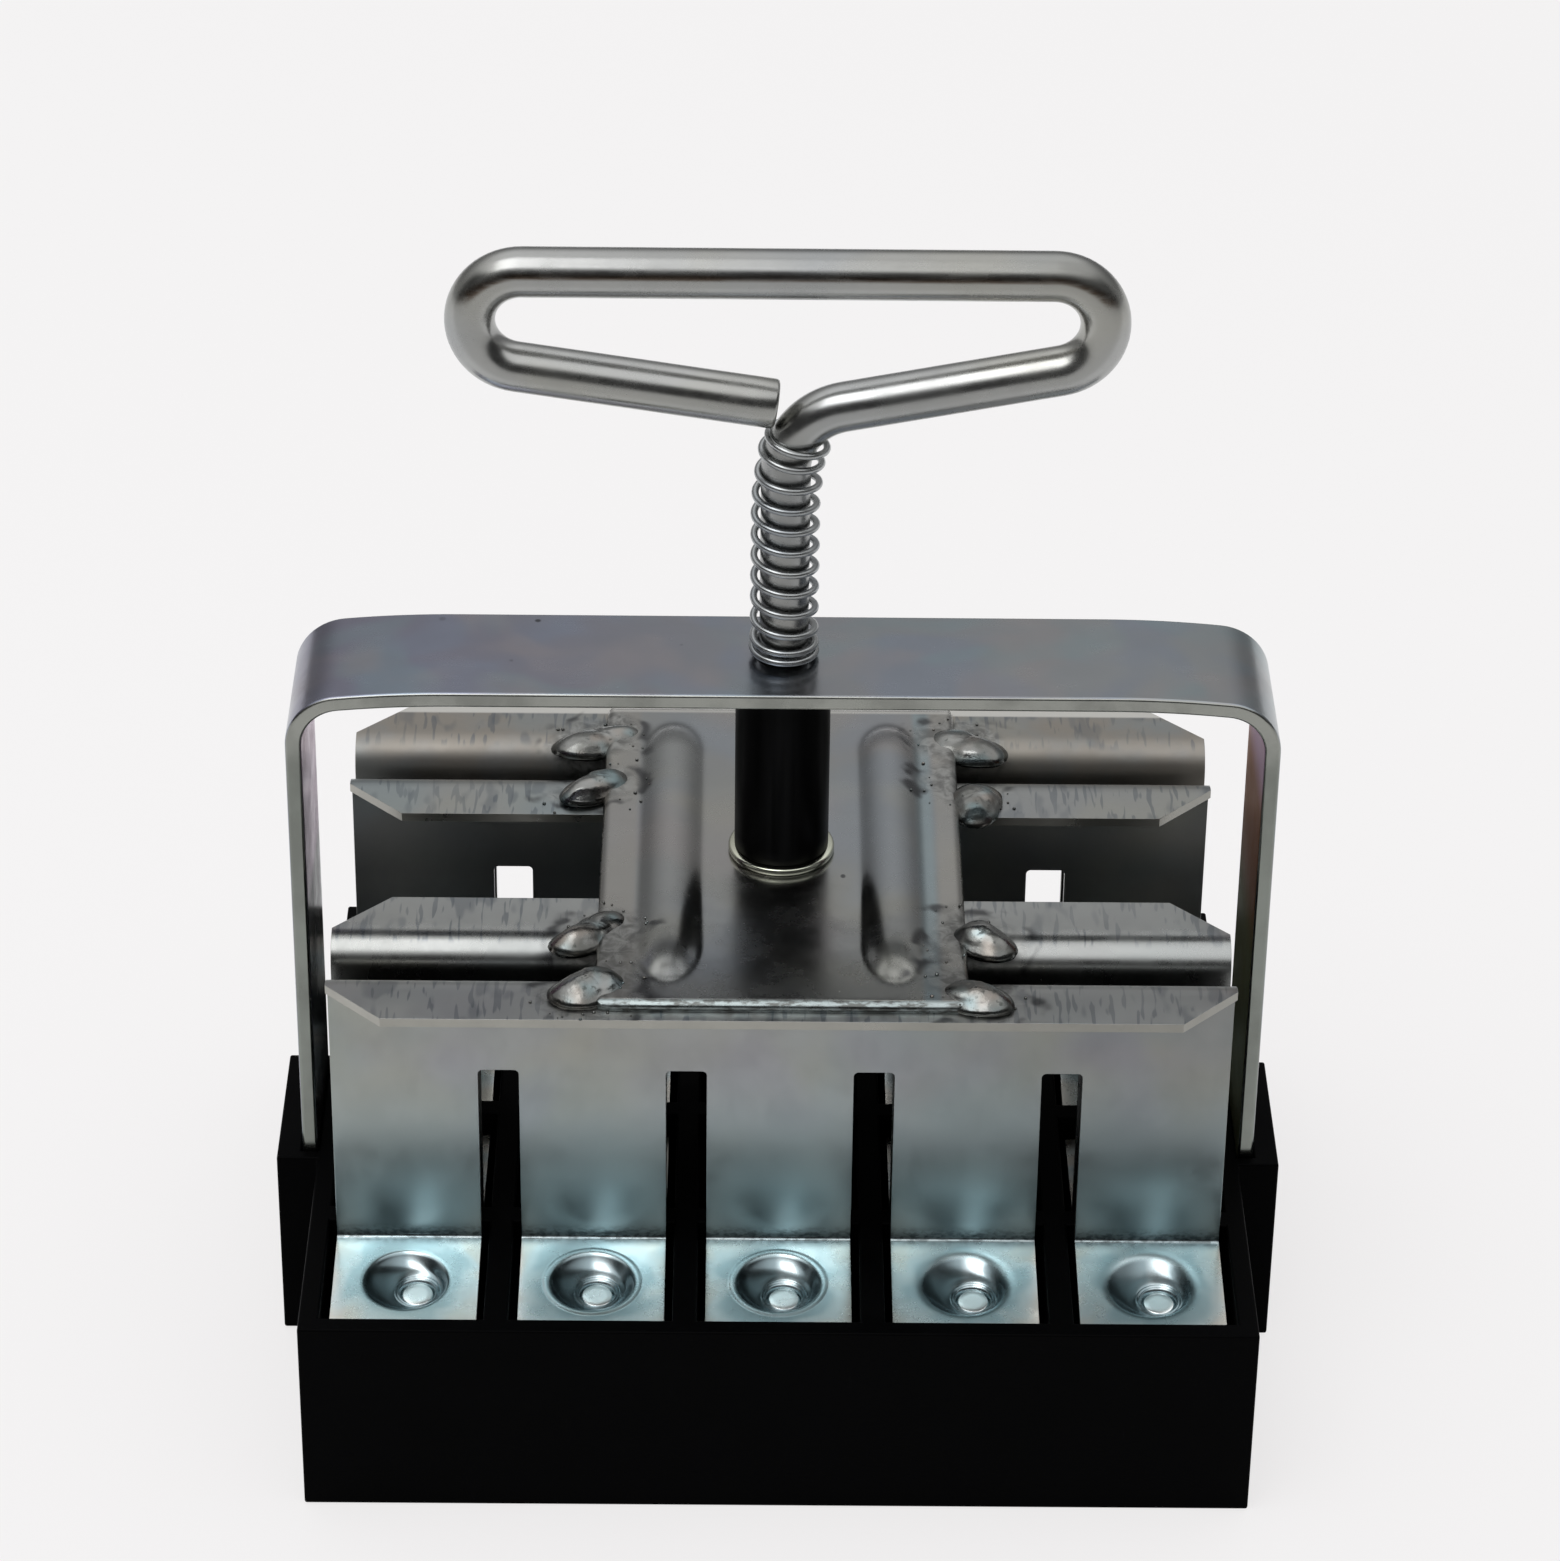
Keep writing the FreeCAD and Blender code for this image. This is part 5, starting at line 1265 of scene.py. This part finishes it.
def make_spring(material):
    """Left-hand coil: closed turns on the strap, open turns above, the last ones pushed over by the bend."""
    steps_per_turn = 40
    count = int(SPRING_TURNS * steps_per_turn)
    pitches = []
    for i in range(count):
        turn = i / steps_per_turn
        pitches.append(CLOSED_PITCH + (FIRST_PITCH - CLOSED_PITCH) * smooth_step(0.7, 1.4, turn)
                       + (ACTIVE_PITCH - FIRST_PITCH) * smooth_step(1.6, 2.4, turn)
                       - (ACTIVE_PITCH - TOP_PITCH)
                       * smooth_step(SPRING_TURNS - 1.7, SPRING_TURNS - 0.9, turn))
    low = STRAP_HIGH.z + WIRE / 2
    scale = (SPRING_TOP - WIRE / 2 - low) / sum(pitches)
    radius = ROD_RADIUS + WIRE_CLEARANCE + WIRE / 2
    line, z = [], low
    for i in range(count + 1):
        angle = -math.tau * i / steps_per_turn + SPRING_START
        lean = SPRING_LEAN * smooth_step(NECK_START - 5 * MM, NECK_START + MM, z)
        swell = radius * (1 + 0.03 * smooth_step(2.2, 0.2, i / steps_per_turn))
        tilt = SPRING_TILT * smooth_step(NECK_START - MM, SPRING_TOP, z)
        across = swell * math.cos(angle)
        line.append(Vector((rod_shift(z) + lean + across * math.cos(tilt), swell * math.sin(angle),
                            z - across * math.sin(tilt))))
        if i < count:
            z += pitches[i] * scale
    edge = 0.12 * MM
    points, faces = swept(line, WIRE / 2, {0: edge, count: edge}, 14)
    piece = new_piece("spring_coil", points, faces, "mould", material, ["spring"],
                      crease=50.0)
    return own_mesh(piece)


# ---------------------------------------------------------------------------------------------
# Stage: floor, world, lamps and camera
# ---------------------------------------------------------------------------------------------
PAPER = (0.915, 0.90, 0.90)


def make_floor():
    """Wide pale sheet of smooth card, greyer on the camera's side as painted shade where the light falls off;
    the camera sees it paler than it is.
    """
    shader = Shader("card_floor")
    # Painted shade: the card is greyer towards the camera.
    near = shader.ramp("Y", -65.0, -190.0)
    shader.set(Base_Color=shader.mix(near, (0.91, 0.905, 0.905), (0.66, 0.655, 0.645)),
               Roughness=0.8, Specular_IOR_Level=0.2)
    seen = shader.nodes.new("ShaderNodeLightPath").outputs["Is Camera Ray"]
    pale = shader.nodes.new("ShaderNodeEmission")
    pale.inputs["Color"].default_value = (*PAPER, 1.0)
    blend = shader.nodes.new("ShaderNodeMixShader")
    shader.link(shader.both(seen, 0.78), blend.inputs["Fac"])
    shader.links.new(shader.surface.outputs[0], blend.inputs[1])
    shader.links.new(pale.outputs[0], blend.inputs[2])
    shader.links.new(blend.outputs[0], shader.nodes["Material Output"].inputs["Surface"])
    reach = 6.0
    mesh = bpy.data.meshes.new("floor")
    mesh.from_pydata([(-reach, -reach, 0), (reach, -reach, 0), (reach, reach, 0), (-reach, reach, 0)], [],
                     [(0, 1, 2, 3)])
    floor = bpy.data.objects.new("floor", mesh)
    floor.location.z = -0.05 * MM
    mesh.materials.append(shader.material)
    bpy.context.scene.collection.objects.link(floor)


WORLD_LEVEL = 1.2
WALL_BEHIND = [(0.0, 0.25), (0.26, 0.27), (0.53, 0.55), (0.64, 0.95), (0.82, 1.2)]
WALL_IN_FRONT = [(0.0, 0.04), (0.56, 0.04), (0.7, 1.2), (1.0, 1.2)]


def make_world():
    """Studio: a wall behind that pales upwards, a white ceiling, and darkness beside the camera.

    The walls are lists of (height of the direction, brightness).
    """
    world = bpy.data.worlds.new("studio")
    bpy.context.scene.world = world
    world.use_nodes = True
    nodes, links = world.node_tree.nodes, world.node_tree.links
    split = nodes.new("ShaderNodeSeparateXYZ")
    links.new(nodes.new("ShaderNodeTexCoord").outputs["Generated"], split.inputs[0])

    def wall(stops):
        node = nodes.new("ShaderNodeValToRGB")
        node.color_ramp.interpolation = "EASE"
        elements = node.color_ramp.elements
        while len(elements) < len(stops):
            elements.new(0.5)
        for element, (height, level) in zip(elements, stops):
            element.position = height
            share = level / WORLD_LEVEL
            element.color = (0.98 * share, 0.99 * share, share, 1)
        links.new(split.outputs["Z"], node.inputs["Fac"])
        return node.outputs["Color"]

    turn = nodes.new("ShaderNodeMapRange")
    turn.interpolation_type = "SMOOTHSTEP"
    links.new(split.outputs["Y"], turn.inputs["Value"])
    turn.inputs["From Min"].default_value, turn.inputs["From Max"].default_value = -0.25, 0.25
    mix = nodes.new("ShaderNodeMix")
    mix.data_type = "RGBA"
    links.new(turn.outputs["Result"], mix.inputs["Factor"])
    links.new(wall(WALL_IN_FRONT), mix.inputs["A"])
    links.new(wall(WALL_BEHIND), mix.inputs["B"])
    seen = nodes.new("ShaderNodeMix")
    seen.data_type = "RGBA"
    links.new(nodes.new("ShaderNodeLightPath").outputs["Is Camera Ray"], seen.inputs["Factor"])
    links.new(mix.outputs["Result"], seen.inputs["A"])
    seen.inputs["B"].default_value = (*[value / WORLD_LEVEL for value in PAPER], 1.0)
    links.new(seen.outputs["Result"], nodes["Background"].inputs["Color"])
    nodes["Background"].inputs["Strength"].default_value = WORLD_LEVEL


KEY_PLACE, KEY_TARGET = (-0.395, -0.42, 1.29), (-0.395, 0, 0.06)
KEY_SIZE, KEY_POWER = (0.71, 1.05), 5.2


def add_softbox(name, place, target, width, height, power, colour):
    lamp = bpy.data.lights.new(name, "AREA")
    lamp.shape = "RECTANGLE"
    lamp.size, lamp.size_y = width, height
    lamp.energy = power
    lamp.color = colour
    thing = bpy.data.objects.new(name, lamp)
    thing.location = place
    thing.rotation_euler = (Vector(target) - Vector(place)).to_track_quat("-Z", "Y").to_euler()
    bpy.context.scene.collection.objects.link(thing)


def make_camera():
    """Camera at the photograph's place: level with yaw, pitch and roll fitted to the tool's corners."""
    pitch, roll, yaw = math.radians(31.835), math.radians(0.715), math.radians(-0.51)
    image_long_side, focal_pixels, sensor = 1561, 5315.8, 36.0
    camera = bpy.data.cameras.new("photo_camera")
    camera.sensor_fit = "AUTO"
    camera.sensor_width = sensor
    camera.lens = sensor * focal_pixels / image_long_side
    camera.clip_start = 0.01
    thing = bpy.data.objects.new("photo_camera", camera)
    turn = Matrix.Rotation(yaw, 4, "Z") @ Matrix.Rotation(math.pi / 2 - pitch, 4, "X") @ \
        Matrix.Rotation(roll, 4, "Z")
    thing.matrix_world = Matrix.Translation(Vector((-5.24, -559.81, 424.40)) * MM) @ turn
    bpy.context.scene.collection.objects.link(thing)
    bpy.context.scene.camera = thing


# ---------------------------------------------------------------------------------------------
# Assembly
# ---------------------------------------------------------------------------------------------
def build():
    draw = random.Random(41)
    noise.seed_set(DISH_SEED)
    front_comb, other_comb, edge_look = comb_zinc(True), comb_zinc(False), sheared_edge()
    rivet_look = small_zinc("rivet_look", (0.34, 0.35, 0.36), BLUE_GREY, 0.3)
    # Painted light: the pins are made near white for their bright heads in the dishes.
    pin_look = small_zinc("pin_look", (0.93, 0.96, 0.95), PALE_CYAN, 0.25)
    weld_look = weld_metal()

    make_mould_block(block_plastic())
    for name, side in SIDES.items():
        make_rivet(side, f"strap_rivet_{name}", rivet_look)
    make_strap(strap_zinc())
    make_spring(small_zinc("spring_wire_look", (0.40, 0.41, 0.41), BLUE_GREY, 0.27))
    make_rod(rod_zinc())
    make_plate(plate_zinc())
    make_rod_weld(weld_look)
    make_washer(small_zinc("washer_look", (0.62, 0.63, 0.52), STRAW, 0.2))
    make_sleeve(sleeve_plastic())
    for row in range(1, ROWS + 1):
        make_comb(row, front_comb if row == 1 else other_comb, edge_look, draw)
        for column in range(1, COLUMNS + 1):
            make_pin(row, column, pin_look, draw)
        for side in SIDES:
            make_weld(row, side, weld_look, draw)
    make_floor()
    make_world()
    add_softbox("key", KEY_PLACE, KEY_TARGET, *KEY_SIZE, KEY_POWER, (0.98, 0.99, 1.0))
    make_camera()
    bpy.context.scene.view_settings.view_transform = "Standard"


def corners(bounds):
    return [[float(value) for value in corner] for corner in bounds]


build()
